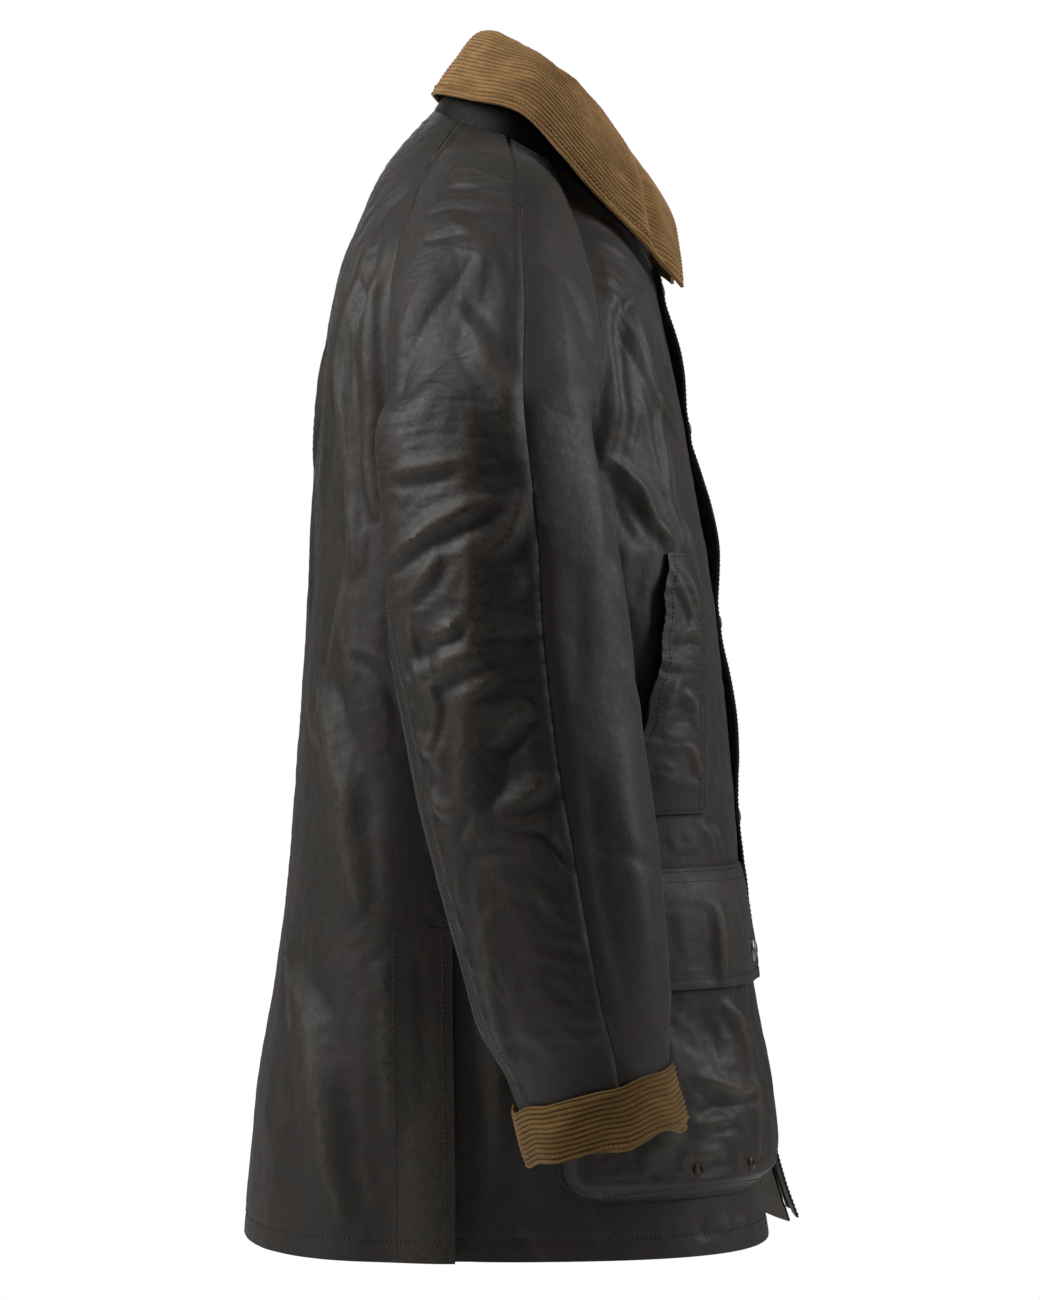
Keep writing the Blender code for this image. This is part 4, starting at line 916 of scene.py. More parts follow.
def edge_line(panel, side, inset, first=0.0, last=1.0):
    """Points and normals along a panel at a distance in from one of its edges."""
    upright = side in ("start", "end")
    runs = panel.across - panel.across[:, :1] if upright else (panel.down - panel.down[:1]).T
    taken = np.arange(int(first * (len(runs) - 1)), int(last * (len(runs) - 1)) + 1)
    at = np.array([np.interp(inset if side in ("start", "top") else runs[k][-1] - inset, runs[k],
                             np.arange(len(runs[k]))) for k in taken])
    place = (taken.astype(float), at) if upright else (at, taken.astype(float))
    return panel.read(*place, panel.points), unit(panel.read(*place, panel.normals()))


STITCH_SHARE = 0.78         # how much of its pitch a stitch fills


class Thread:
    """Gathers stitches and makes them into one piece."""

    def __init__(self, sizes):
        self.pitch = sizes.stitch_pitch
        self.radius = sizes.thread_radius
        self.vertices = []

    def sew(self, line, normals):
        """Adds a row of stitches along a line."""
        run = run_of(line)
        count = int(run[-1] / self.pitch)
        if count < 1:
            return
        middle = (np.arange(count) + 0.5) * self.pitch
        half = STITCH_SHARE * self.pitch / 2
        first, centre, last = (read_along(run, line, middle + step) for step in (-half, 0, half))
        up = unit(read_along(run, normals, middle)) * self.radius
        side = unit(np.cross(up, last - first)) * self.radius
        centre = centre + 0.5 * up
        self.vertices.append(np.stack([first, centre + side, centre + up, centre - side,
                                       centre - up, last], axis=1).reshape(-1, 3))

    def edge(self, panel, *place):
        """Adds a row of stitches at a distance in from a panel's edge."""
        self.sew(*edge_line(panel, *place))

    def make(self, name, look):
        """The stitches as one piece."""
        vertices = np.concatenate(self.vertices)
        base = np.arange(0, len(vertices), 6)[:, None, None]
        stitch = np.array([tip for k in range(4) for tip in ((0, 1 + (k + 1) % 4, 1 + k),
                                                             (5, 1 + k, 1 + (k + 1) % 4))])
        faces = (stitch[None] + base).reshape(-1, 3)
        return new_piece(name, vertices.tolist(), faces.tolist(), [look], 180)


# ---------------------------------------------------------------- the jacket's cloth
BACK_STREWS = [
    Strew((0.02, 0.26), (0.06, 0.42), 5, 88, 10, 0.170, 0.0080, 0.0026),
    Strew((0.02, 0.26), (0.42, 0.84), 4, 86, 12, 0.150, 0.0085, 0.0022),
    Strew((0.10, 0.27), (0.28, 0.56), 4, 40, 34, 0.055, 0.0050, 0.0016),
]
FRONT_STREWS = [
    Strew((0.03, 0.28), (0.40, 0.74), 5, 84, 16, 0.120, 0.0080, 0.0020),
    Strew((0.17, 0.28), (0.20, 0.45), 3, 50, 34, 0.045, 0.0045, 0.0014),
]
SLEEVE_STREWS = [
    Strew((-0.14, -0.04), (0.30, 0.60), 11, 165, 22, 0.036, 0.0040, 0.0020),
    Strew((-0.12, 0.10), (0.06, 0.28), 4, 78, 26, 0.070, 0.0065, 0.0018),
    Strew((-0.11, 0.12), (0.62, 0.74), 6, 12, 26, 0.036, 0.0045, 0.0014),
    Strew((0.06, 0.26), (0.20, 0.72), 6, 78, 18, 0.075, 0.0065, 0.0014),
]
BODY_SETTLE = Settle(0.017, 0.006, 0.006, 0.13, -0.0060, 0.0090, 0.0007)
SLEEVE_SETTLE = Settle(0.010, 0.026, 0.006, 0.13, -0.0060, 0.0080, 0.0006)
SLEEVE_BACK = 0.165         # widths that the grids' columns are counted for: a sleeve's back half,
SLEEVE_FRONT = 0.245        # its front half,
BACK_HALF = 0.285           # half of the back
FRONT_WIDTH = 0.29          # and a front
HEM_DEPTH = 0.015
SEAM_STITCH = 0.0070        # stitches run this far in from a seam,
EDGE_STITCH = 0.0060        # from a folded edge
VENT_STITCH = 0.0400        # and from a vent's edge, on its facing
SEAM_BAND = 0.0085          # width of a felled seam's raised band
SEAM_GROOVE = 0.0011        # half-width of a seam's groove


def sleeve_cloth(side, sizes):
    """One sleeve's cloth, creased, as a tube opened at its inner seam."""
    outer = round(SLEEVE_BACK / sizes.cell)
    panel = sleeve_tube(sizes.cell, outer, round(SLEEVE_FRONT / sizes.cell))
    panel.outer_column = outer
    for column_at, beside in ((outer - 1, outer), (outer + 1, outer), (1, 0), (-2, -1)):
        panel.crowd(column_at, beside, 0.20)
    seed = 21 if side == "right" else 47
    height = creased(panel, SLEEVE_CREASES, seed, side == "left", SLEEVE_STREWS, 0.42)
    start = panel.across - panel.across[:, :1]
    end = panel.across[:, -1:] - panel.across
    edge = np.minimum(start, end)
    foot = panel.down[-1:] - panel.down
    seam = np.abs(panel.across)
    height = height * ramp(edge, 0.0, 0.016) * ramp(panel.down, 0.0, 0.012) * ramp(foot, 0.020, 0.050)
    pinned = 1 - ramp(np.minimum(edge, panel.down), 0.0, 0.012) * ramp(foot, 0.030, 0.045)
    pinned += 0.10 * (1 - ramp(seam, 0.0, 0.006))
    back = ramp(-panel.across, -0.030, 0.020)
    elbow = bell(panel.down - 0.42, 0.16)
    settled(panel, height, SLEEVE_SETTLE, 0.4 + 0.6 * back, 0.02 + back * (0.5 + 0.7 * elbow), pinned, seed)
    height = puckers(seam, panel.down + 0.8 * seam, 0.0009, seed + 7) * ramp(-panel.across, 0.0005, 0.0035)
    height += puckers(start, panel.down, 0.0026, seed + 8, reach=0.011, pitch=0.014)
    height += puckers(end, panel.down, 0.0010, seed + 9)
    height += felled(-panel.across, SEAM_BAND, 0.0004) * ramp(-panel.across, 0.0, 0.0020)
    height -= 0.0011 * bell(seam, 0.0007)
    height += felled(start, SEAM_BAND, 0.0008) - 0.0010 * bell(edge, SEAM_GROOVE)
    panel.lift(height)
    return panel


def hemmed(panel, foot, seed):
    """The height of a hem: a stitched groove with puckers beside it."""
    gap = foot - HEM_DEPTH
    return -0.0006 * bell(gap, 0.0016) + puckers(np.abs(gap), panel.across, 0.0006, seed, reach=0.010)


def both_halves(right, left, flip=1.0):
    """Two halves' grids side by side; they share the middle column."""
    return np.concatenate([right[:, :0:-1] * flip, left], axis=1)


def back_cloth(sizes):
    """The whole back's cloth, with the laps at its vents."""
    cell = sizes.cell
    cells = round(BACK_HALF / cell)
    back = body_half("back", cell, cells)
    front = body_half("front", cell, round(FRONT_WIDTH / cell))
    lap_cells = max(4, round(VENT_LAP / cell))
    laps = np.linspace(0, VENT_LAP, lap_cells + 1)[1:]
    lap = [read_along(run_of(line[::-1]), line[::-1], laps) for line in front.points]
    left = Panel(np.concatenate([back.points, np.array(lap)], axis=1), back.reference)
    vent = back.heights <= VENT_TOP
    halves = []
    for side, seed in (("right", 11), ("left", 33)):
        panel = Panel(left.points, left.reference)
        height = creased(panel, BACK_CREASES, seed, side == "left", BACK_STREWS, reach=0.02)
        seam = panel.across[:, cells:cells + 1] - panel.across
        above = np.where(vent[:, None], 1.0, ramp(seam, 0.0, 0.018))
        halves.append((panel, height * above * ramp(panel.down, 0.0, 0.012)))
    (right, right_height), (left, left_height) = halves
    middle = 0.5 * (right_height[:, :1] + left_height[:, :1])
    blend = ramp(right.across, 0.0, 0.05)
    height = both_halves(*(middle * (1 - blend) + half * blend for half in (right_height, left_height)))
    whole = Panel(both_halves(right.points, left.points, FLIP), back.reference)
    whole.across = both_halves(right.across, left.across, -1)
    whole.down = both_halves(right.down, left.down)
    whole.crest = both_halves(right.crest, left.crest)
    foot = whole.down[-1:] - whole.down
    beyond = np.abs(whole.across) - right.across[:, cells:cells + 1]
    pinned = np.where(vent[:, None], 0.0, 1 - ramp(-beyond, 0.0, 0.012)) + 1 - ramp(whole.down, 0.0, 0.010)
    pinned = np.clip(pinned + 0.08 * (1 - ramp(foot, 0.004, 0.020)) + 0.1 * ramp(beyond, -0.02, 0.0), 0, 1)
    lean = 1 - 0.6 * ramp(whole.down, 0.42, 0.66)
    settled(whole, height, BODY_SETTLE, lean, lean, pinned, 70)
    gape = VENT_GAPE * ramp(whole.down, whole.down[vent][0].mean(), whole.down[-1].mean())
    whole.lift(hemmed(whole, foot, 71) + ramp(beyond, -0.03, 0.02) * gape * vent[:, None])
    extra = np.zeros(whole.points.shape[1] - 1, bool)
    extra[:lap_cells] = True
    extra[-lap_cells:] = True
    whole.keep = ~(extra[None, :] & ~vent[1:, None])
    whole.vent_row = int(np.argmax(vent))
    return whole


def under_pockets(panel):
    """How far each point of a front lies under its pockets: 1 under them, 0 well away."""
    share = np.linspace(0, 1, panel.points.shape[1])[None, :]
    z = panel.points[..., 2]
    y = panel.points[..., 1]
    bag = ramp(share, BAG_FIRST - 0.05, BAG_FIRST) * (1 - ramp(share, BAG_LAST, BAG_LAST + 0.05))
    bag = bag * ramp(-z, 0.525, 0.540) * (1 - ramp(-z, 0.775, 0.790))
    sewn, free = (column(HANDWARMER, name, z) for name in ("sewn_y", "open_y"))
    patch = ramp(y, sewn - 0.010, sewn) * (1 - ramp(y, free, free + 0.012)) * (share < 0.9)
    patch = patch * ramp(-z, -HANDWARMER[0].z - 0.010, -HANDWARMER[0].z)
    patch = patch * (1 - ramp(-z, -HANDWARMER[-1].z, -HANDWARMER[-1].z + 0.010))
    return np.maximum(bag, patch)


def underarm_row(panel):
    """The first row of a body panel below the underarm."""
    return int(np.argmax(panel.heights <= TORSO[0].z + 0.001))


def front_cloth(side, sizes):
    """One front's cloth, creased, with its rear edge tucked in under the back along the vent."""
    panel = body_half("front", sizes.cell, round(FRONT_WIDTH / sizes.cell))
    panel.toward_front = -1.0
    seed = 61 if side == "right" else 83
    height = creased(panel, FRONT_CREASES, seed, side == "left", FRONT_STREWS)
    seam = panel.across[:, -1:] - panel.across
    below = (panel.heights <= VENT_TOP)[:, None]
    height = height * np.where(below, 1.0, ramp(seam, 0.0, 0.018)) * ramp(panel.down, 0.0, 0.012)
    height = height * ramp(panel.across, 0.0, 0.030)
    armpit = panel.points[underarm_row(panel), -1]
    height = height * (1 - bell(np.linalg.norm(panel.points - armpit, axis=2), 0.035))
    if side == "left":
        near = np.clip(1.0 - np.abs(panel.points[..., 0]) / SWING_WIDTH, 0, 1)
        reach = column(LEFT_SWING, "reach", np.minimum(panel.points[..., 2], LEFT_SWING[0].z))
        panel.points[..., 1] -= reach * near * near
    panel.base = panel.points.copy()
    foot = panel.down[-1:] - panel.down
    tuck = ramp(-panel.heights, -VENT_TOP - 0.004, -VENT_TOP + 0.010)[:, None]
    covered = under_pockets(panel)
    height = height * (1 - tuck * ramp(seam, 0.060, 0.035)) * (1 - covered)
    pinned = 1 - ramp(np.minimum(panel.across, panel.down), 0.0, 0.012)
    pinned += np.where(below, 1 - ramp(seam, 0.045, 0.065), 1 - ramp(seam, 0.0, 0.012))
    pinned = np.clip(pinned + 0.08 * (1 - ramp(foot, 0.004, 0.020)) + 0.3 * covered, 0, 1)
    low = np.where(covered > 0.02, -0.0040, BODY_SETTLE.low)
    high = BODY_SETTLE.high * (1 - covered) + 0.0010 * covered
    settled(panel, height, BODY_SETTLE._replace(low=low, high=high), 1.0, 1.0, pinned, seed)
    panel.lift(hemmed(panel, foot, seed + 9) - tuck * VENT_TUCK * ramp(seam, 0.052, 0.034))
    return panel


@functools.lru_cache(maxsize=None)
def cloth():
    """Every waxed panel of the jacket, by name."""
    sizes = bpy.context.scene.jacket_sizes
    panels = {"back": back_cloth(sizes)}
    for side in SIDES:
        for name, make in (("front_", front_cloth), ("sleeve_", sleeve_cloth)):
            panel = make(side, sizes)
            panels[name + side] = panel if side == "left" else panel.mirrored()
    return panels


# ---------------------------------------------------------------- collar and cuffs
COLLAR_CREASES = creases(
    (60, -78, 0, -86, -10, -92, -32, -99, -60, -108, -90, -119, -115),
    (80, 46, 0, -78, -12, -84, -40, -92, -72, -100, -96),
    (90, 18, 0, -16, 44, -18, 10, -19, -12),
    (80, -10, 0, 30, 40, 26, 22, 24, 8),
    (100, -12, 0, -50, 10, -46, -20, -40, -36),
)


def wale_height(across_wales, pitch, depth):
    """Corduroy's ribs: rounded on top, with narrow grooves that go in by the depth."""
    wave = 0.5 + 0.5 * np.cos(2 * math.pi * across_wales / pitch)
    return depth * (wave ** 0.55 - 1.0)


TIP_SHIFT = np.array([0.003, 0.003, 0.011])     # the left tip sits a little higher and further out
COLLAR_DEEP = 0.140         # the collar's length over its roll, for its rows
WALE_ROWS = 6               # rows of points to a rib
CUFF_ROUND = 0.34
CUFF_HEIGHT = 0.0385
CUFF_WAVE = 0.0030          # how far its edges wander up and down
CUFF_BRIM = 0.0018          # its edges are rounded over this far
CUFF_WALE = 1.12            # its ribs are this much wider than the collar's


def collar_points(at):
    """The collar's key points at a row number of its table; negative numbers are the right half."""
    half = np.array(COLLAR)
    flip = np.where([name.endswith("_x") for name in Collar._fields], -1.0, 1.0)
    keys = range(-len(COLLAR) + 1, len(COLLAR))
    read = smooth_points(keys, np.concatenate([half[:0:-1] * flip, half]), at)
    neck, roll, edge = read[:3], read[3:6], read[6:9]
    edge = edge + TIP_SHIFT * float(ramp(at, len(COLLAR) - 3, len(COLLAR) - 1))
    up = unit(roll - neck)
    out = np.array([neck[0], neck[1] + 0.020, 0.0])
    out = unit(out - up * float(out @ up))
    return neck, roll, edge, up, out, read[9]


def collar_places(cell):
    """Row numbers along the collar about one cell apart at its outer edge."""
    fine = np.linspace(1 - len(COLLAR), len(COLLAR) - 1, 321)
    run = run_of(np.array([collar_points(at)[2] for at in fine]))
    return np.interp(np.linspace(0, run[-1], 2 * round(run[-1] / cell / 2) + 1), run, fine)


def collar_cloth(sizes):
    """The corduroy collar: up inside the neck, over the roll and down to the fall's edge."""
    rows = round(COLLAR_DEEP / (sizes.wale_pitch / WALE_ROWS))
    columns = []
    for at in collar_places(1.5 * sizes.cell):
        neck, roll, edge, up, out, belly = collar_points(at)
        inside = -out * COLLAR_INSIDE
        brow = roll + out * ROLL_OUTER - up * ROLL_SHOULDER
        keys = np.array([
            neck + inside + up * COLLAR_FOOT,
            neck + (roll - neck) * 0.35 + inside,
            neck + (roll - neck) * 0.70 + inside,
            roll - out * ROLL_HALF - up * ROLL_SHOULDER,
            roll,
            brow,
            brow * 0.5 + edge * 0.5 + out * belly,
            edge,
        ])
        run = run_of(keys)
        fine = np.linspace(0, run[-1], 200)
        columns.append(spaced(smooth_points(run, keys, fine), np.linspace(0, 1, rows + 1)))
    grid = np.array(columns).transpose(1, 0, 2)
    panel = Panel(grid, np.zeros((len(grid), 3)))
    from_edge = panel.down[-1:] - panel.down
    level = int(rows * 0.8)
    gap = np.linalg.norm(grid[level][:, None] - grid[-1][None], axis=2).min(axis=1)
    lean = smooth_row(gap / from_edge[level], 5)
    panel.across = np.repeat(panel.across[-1:], len(grid), axis=0)
    panel.down = -from_edge * lean + 0.0007 * gradient_noise(panel.across / 0.030, from_edge / 0.012, 17)
    facing = unit(np.cross(np.gradient(grid, axis=0), np.gradient(grid, axis=1)))
    middle = grid.shape[1] // 2
    if facing[level, middle, 1] < 0:
        facing = -facing
    half = Panel(grid[:, middle:], panel.reference)
    half.across = panel.across[:, middle:]
    half.down = panel.down[:, middle:]
    half.normals = lambda: np.where(np.arange(len(grid))[:, None, None] > rows // 2, facing[:, middle:], 0.0)
    laid = [laid_on(half, crease, 0.08) for crease in COLLAR_CREASES]
    height = both_halves(crease_height(half, laid, 5), crease_height(half, shifted(laid, 6, 0.006), 7))
    fall = ramp(np.arange(len(grid))[:, None] / rows, 0.40, 0.55)
    height = height * fall * ramp(from_edge, 0.0, 0.006)
    height += wale_height(panel.down, sizes.wale_pitch, sizes.wale_depth)
    height += 0.0006 * gradient_noise(panel.across / 0.022, panel.down / 0.03, 15)
    panel.points = grid + facing * height[..., None]
    panel.ridge = height
    panel.normals = lambda: facing
    return panel


def smooth_row(values, reach):
    """A list of values averaged over its neighbours."""
    padded = np.pad(values, reach, mode="edge")
    return np.convolve(padded, np.ones(2 * reach + 1) / (2 * reach + 1), mode="valid")


def stand_cloth(sizes):
    """The waxed band that the collar folds over."""
    columns = []
    outs = []
    for at in collar_places(1.5 * sizes.cell):
        neck, roll, _, up, out, _ = collar_points(at)
        top = roll - up * STAND_DROP
        seam = neck + up * STAND_FOOT
        tucked = neck - up * STAND_TUCK - out * STAND_SINK
        columns.append(spaced(np.array([top, seam, tucked]), np.linspace(0, 1, 17)))
        outs.append(out)
    grid = np.array(columns).transpose(1, 0, 2)
    panel = Panel(grid, np.zeros((len(grid), 3)))
    facing = np.repeat(np.array(outs)[None], len(grid), axis=0)
    panel.normals = lambda: facing
    return panel


def cuff_cloth(side, sizes):
    """A turned-back corduroy band round the end of a sleeve."""
    sections = [ring_section(row) for row in CUFF_RINGS]
    rows = round(CUFF_HEIGHT / (sizes.wale_pitch / WALE_ROWS)) + 8
    turns = CUFF_RINGS[0].inner_turn + np.linspace(0, 360, round(CUFF_ROUND / sizes.cell) + 1)
    ahead, aside = np.cos(np.radians(turns)), np.sin(np.radians(turns))
    top, foot = (CUFF_WAVE * gradient_noise(ahead * 2.2 + 5, aside * 2.2 + 5, seed) for seed in (97, 98))
    centres = []
    lines = []
    for share in np.linspace(0, 1, rows + 1):
        section = section_at(sections, 2 * share)
        line = round_sleeve(section, turns)
        line[:, 2] += top + (foot - top) * share
        lines.append(line)
        centres.append(section.crest + (section.back_in + section.front_in) * 0.5)
    panel = Panel(np.array(lines), np.array(centres))
    ends = np.minimum(panel.down, panel.down[-1].mean() - panel.down)
    brim = np.sqrt(np.clip(1 - (1 - np.clip(ends / CUFF_BRIM, 0, 1)) ** 2, 0, 1))
    panel.across = panel.across - np.interp(CUFF_RINGS[0].outer_turn, turns, panel.across[rows // 2])
    panel.down = panel.down + 0.0006 * gradient_noise(panel.across / 0.025, panel.down / 0.012, 19)
    height = CUFF_BRIM * (brim - 1)
    height += wale_height(panel.down, CUFF_WALE * sizes.wale_pitch, 1.3 * sizes.wale_depth)
    height -= 0.0012 * bell(panel.across, SEAM_GROOVE)
    seed = 91 if side == "right" else 95
    wave = gradient_noise(ahead * 1.7 + 5 + 0 * panel.down, aside * 1.7 + panel.down / 0.06, seed)
    panel.lift(height + 0.0038 * wave * ramp(panel.down, 0, 0.03))
    return panel if side == "left" else panel.mirrored()


# ---------------------------------------------------------------- fly and pockets
def on_axis(heights):
    """Points inside the body at given heights, for panels to face away from."""
    return np.column_stack([0 * heights, 0 * heights, heights])


def front_edge_y(z, left):
    """Where a front's middle edge lies at a height."""
    y = middle_line("front", z)
    reach = column(LEFT_SWING, "reach", np.minimum(z, LEFT_SWING[0].z))
    return y - reach * (1 - FRONT_EDGE / SWING_WIDTH) ** 2 if left else y


def fly_lift(z):
    """How far the fly's free edge stands off the right front at a height."""
    lift = np.full_like(z, FLY_SNAPPED)
    for upper, lower, swell in zip(FLY_SNAPS, FLY_SNAPS[1:], FLY_SWELLS):
        t = np.clip((upper - FLY_FLAT - z) / (upper - lower - 2 * FLY_FLAT), 0, 1)
        lift = lift + swell * np.sin(math.pi * t) ** 1.2
    foot = FLY_SNAPS[-1] - FLY_FLAT
    return lift + FLY_FLARE * np.clip((foot - z) / (foot - FLY_FOOT), 0, 1) ** 1.5


def fly_cloth(sizes):
    """The storm fly, stitched to the left front and lapped over the right."""
    z = np.linspace(FLY_TOP, FLY_FOOT, round((FLY_TOP - FLY_FOOT) / sizes.cell) + 1)
    x = np.linspace(FLY_ROOT_X, FLY_EDGE_X, round((FLY_ROOT_X - FLY_EDGE_X) / (0.75 * sizes.cell)) + 1)
    x, z = np.meshgrid(x, z)
    root = front_edge_y(z, True)
    free = front_edge_y(z, False)
    across = (FLY_ROOT_X - x) / (FLY_ROOT_X - FLY_EDGE_X)
    over = np.clip((FRONT_EDGE - x) / (FRONT_EDGE - FLY_EDGE_X), 0, 1)
    ripple = 0.0006 * gradient_noise(z / 0.03, across * 2, 3) * ramp(across, 0.2, 0.7)
    y = root + (free - root) * over - 0.0020 - fly_lift(z) * across ** 1.4 - np.abs(ripple)
    y = y + 0.0004 * (bell(across - 0.87, 0.018) + bell(across - 0.10, 0.018))
    return Panel(np.stack([x, y, z], axis=-1), on_axis(z[:, 0]))


def on_front(panel, shares, z, lifts):
    """A panel over a front at shares of its width and at heights, moved out by lifts."""
    first = underarm_row(panel)
    rows = np.interp(-z, -panel.heights[first:], np.arange(first, len(panel.heights)))
    cols = shares * (panel.points.shape[1] - 1)
    base = Panel(panel.base, panel.reference)
    normals = unit(base.read(rows, cols, base.normals()))
    points = base.read(rows, cols, base.points) + normals * lifts[..., None]
    piece = Panel(points, on_axis(points[..., 2].mean(axis=1)))
    piece.toward_front = -1.0
    return piece


POCKET_PRESS = 0.62         # how much closer a pocket lies at the front edge of its upper part
PATCH_SETTLE = Settle(0.018, 0.018, 0.005, 0.20, -0.0010, 0.0060, 0.0007)
POCKET_CELL = 0.8           # a pocket's points are this much closer than the jacket's
POCKET_WIDTH = 0.165
PATCH_WIDTH = 0.060
BAG_CORNER = 0.022          # radius of the bag's lower corners


def pressed(shares, z):
    """What share of its standing out a pocket keeps, near the jacket's front and top."""
    return 1 - POCKET_PRESS * (1 - ramp(shares, 0.0, 0.5)) * (1 - ramp(-z, 0.635, 0.700))


def settled_pocket(piece, table, settle, spare, held, seed, share=1.0):
    """Creases a pocket's piece and lets it settle; the left one's creases lie a little differently."""
    height = creased(piece, table, seed, piece.points[..., 0].mean() > 0, reach=0.006)
    settled(piece, height * (1 - held) * share, settle, *spare, held, seed + 2)
    return piece


def heights_down(top, foot, cell):
    """Heights from top to foot about one cell apart."""
    return np.linspace(top, foot, round((top - foot) / cell) + 1)


def bag_cloth(panel, cell, seed):
    """A bellows pocket's bag: sewn round its edge, with a pleated gusset and a rounded foot."""
    z = heights_down(BAG_ROWS[0].z, BAG_ROWS[-1].z, cell)
    share = np.linspace(0, 1, round(POCKET_WIDTH / cell) + 1)
    from_foot = (z - BAG_ROWS[-1].z)[:, None]
    dip = np.clip(1 - from_foot / BAG_CORNER, 0, 1)
    inset = BAG_CORNER * (1 - np.sqrt(1 - dip ** 2 * 0.995)) / POCKET_WIDTH
    shares = inset + (1 - 2 * inset) * share
    z = np.repeat(z[:, None], len(share), axis=1)
    full = np.maximum(column(BAG_ROWS, "reach", z) * pressed(shares, z), SEWN_LIFT + 0.0008)
    side = np.minimum(share, 1 - share) * POCKET_WIDTH * (1 - 2 * inset)
    gusset = ramp(side, 0.0030, 0.0075) - 0.16 * bell(side - 0.0042, 0.0010)
    puffed = gusset * ramp(from_foot, 0.0030, 0.0110)
    sag = 0.0022 * gradient_noise(shares * 4.0 + 0.3, z / 0.075, seed)
    fine = 0.0008 * gradient_noise(shares * 11, z / 0.030, seed + 1)
    lift = SEWN_LIFT + ((full - SEWN_LIFT) + (sag + fine) * ramp(from_foot, 0.0, 0.03)) * puffed
    bag = on_front(panel, BAG_FIRST + shares * (BAG_LAST - BAG_FIRST), z, lift)
    sewn = 1 - ramp(side, 0.0030, 0.0120) * ramp(from_foot, 0.0030, 0.0140)
    free = ramp(FLAP_ROWS[-1].z - z, 0.0, 0.02)
    low = -np.minimum(0.6 * (lift - SEWN_LIFT), 0.007)
    settle = PATCH_SETTLE._replace(low=low, high=0.0008 + 0.0064 * free)
    return settled_pocket(bag, BAG_CREASES, settle, (0.5 + free, 0.5 + free), sewn, seed, 0.2 + 0.8 * free)


def flap_cloth(panel, cell, seed):
    """A pocket's flap: sewn at its top, with a stitched band and a foot that lifts at its corners."""
    shares, z = np.meshgrid(np.linspace(0, 1, round(POCKET_WIDTH / cell) + 1),
                            heights_down(FLAP_ROWS[0].z, FLAP_ROWS[-1].z, cell))
    down = FLAP_ROWS[0].z - z
    lift = column(FLAP_ROWS, "reach", z) * pressed(shares, z) + 0.0007
    lift -= 0.0009 * bell(down - 0.0095, 0.0013) + 0.0005 * bell(down - 0.0755, 0.0012)
    wave = 0.0020 * gradient_noise(shares * 3.1 + 0.7, z / 0.2, seed) * ramp(down, 0.015, 0.075)
    curl = 0.0026 * np.clip(np.abs(shares - 0.5) * 2, 0, 1) ** 6 * ramp(down, 0.02, 0.083)
    across = BAG_FIRST + shares * (BAG_LAST - BAG_FIRST)
    snapped = sum(bell(across - s, 0.06 * (BAG_LAST - BAG_FIRST)) * bell(z - FLAP_SNAP_Z, 0.012)
                  for s in FLAP_SNAP_SHARES)
    snapped = np.clip(snapped, 0, 1)
    flap = on_front(panel, across, z, lift + (wave + curl) * (1 - snapped))
    held = np.clip(1 - ramp(down, 0.010, 0.030) + snapped + 0.05 * ramp(down, 0.060, 0.075), 0, 1)
    settle = PATCH_SETTLE._replace(low=-0.0008, high=0.0050)
    return settled_pocket(flap, FLAP_CREASES, settle, (0.5, 0.3), held, seed)


def patch_cloth(panel, cell, seed):
    """A handwarmer patch, sewn at its top, foot and front edge and open at the rear."""
    top, foot = HANDWARMER[0].z, HANDWARMER[-1].z
    z = heights_down(top, foot, cell)
    below = underarm_row(panel)
    across = np.linspace(0, 1, round(PATCH_WIDTH / cell) + 1)
    shares = []
    for level in z:
        row = int(np.interp(-level, -panel.heights[below:], np.arange(below, len(panel.heights))))
        line = panel.base[row]
        place = np.linspace(0, 1, len(line))
        keep = (place > 0.2) & (place < 0.9)
        inset = 0.008 * float(ramp(top - level, 0.010, 0.050) * ramp(level - foot, 0.010, 0.040))
        inset += 0.0032 * float(gradient_noise(np.array([level / 0.022]), np.array([0.3]), seed)[0])
        sewn, free = (float(column(HANDWARMER, name, level)) for name in ("sewn_y", "open_y"))
        sewn, free = np.interp([sewn, free + inset], line[keep, 1], place[keep])
        shares.append(sewn + (free - sewn) * across)
    z = np.repeat(z[:, None], len(across), axis=1)
    rise = np.sin(np.minimum(across * 1.25, 1.0) * math.pi / 2)
    ends = ramp(np.minimum(top - z, z - foot), 0.0, 0.020)
    lift = PATCH_LIFT + POCKET_PRESS * (column(HANDWARMER, "reach", z) - PATCH_LIFT) * rise
    lift = lift + 0.0016 * gradient_noise(across * 2.5 + 0 * z, z / 0.045, seed) * ends * rise
    patch = on_front(panel, np.array(shares), z, lift)
    held = np.clip(2 - ramp(across, 0.0, 0.12) - ends, 0, 1)
    settle = PATCH_SETTLE._replace(low=-0.7 * (lift - 0.0026), high=0.0060)
    return settled_pocket(patch, PATCH_CREASES, settle, (0.6, 2.4), held, seed)


@functools.lru_cache(maxsize=None)
def pockets():
    """Every pocket piece of the jacket, by name."""
    cell = POCKET_CELL * bpy.context.scene.jacket_sizes.cell
    panels = {}
    for side, seed in (("left", 131), ("right", 151)):
        front = cloth()["front_" + side]
        panels["bellows_bag_" + side] = bag_cloth(front, cell, seed)
        panels["pocket_flap_" + side] = flap_cloth(front, cell, seed + 3)
        panels["handwarmer_" + side] = patch_cloth(front, cell, seed + 6)
    return panels


# ---------------------------------------------------------------- zip
ZIP_WALL = 0.0010
ZIP_DEEP = 0.0028          # the tape lies this far behind the fronts' edges
TOOTH = np.array([0.0016, 0.0009, 0.0006])      # half a tooth's width, depth and height
TOOTH_PITCH = 0.0019
TOOTH_REACH = 0.0010


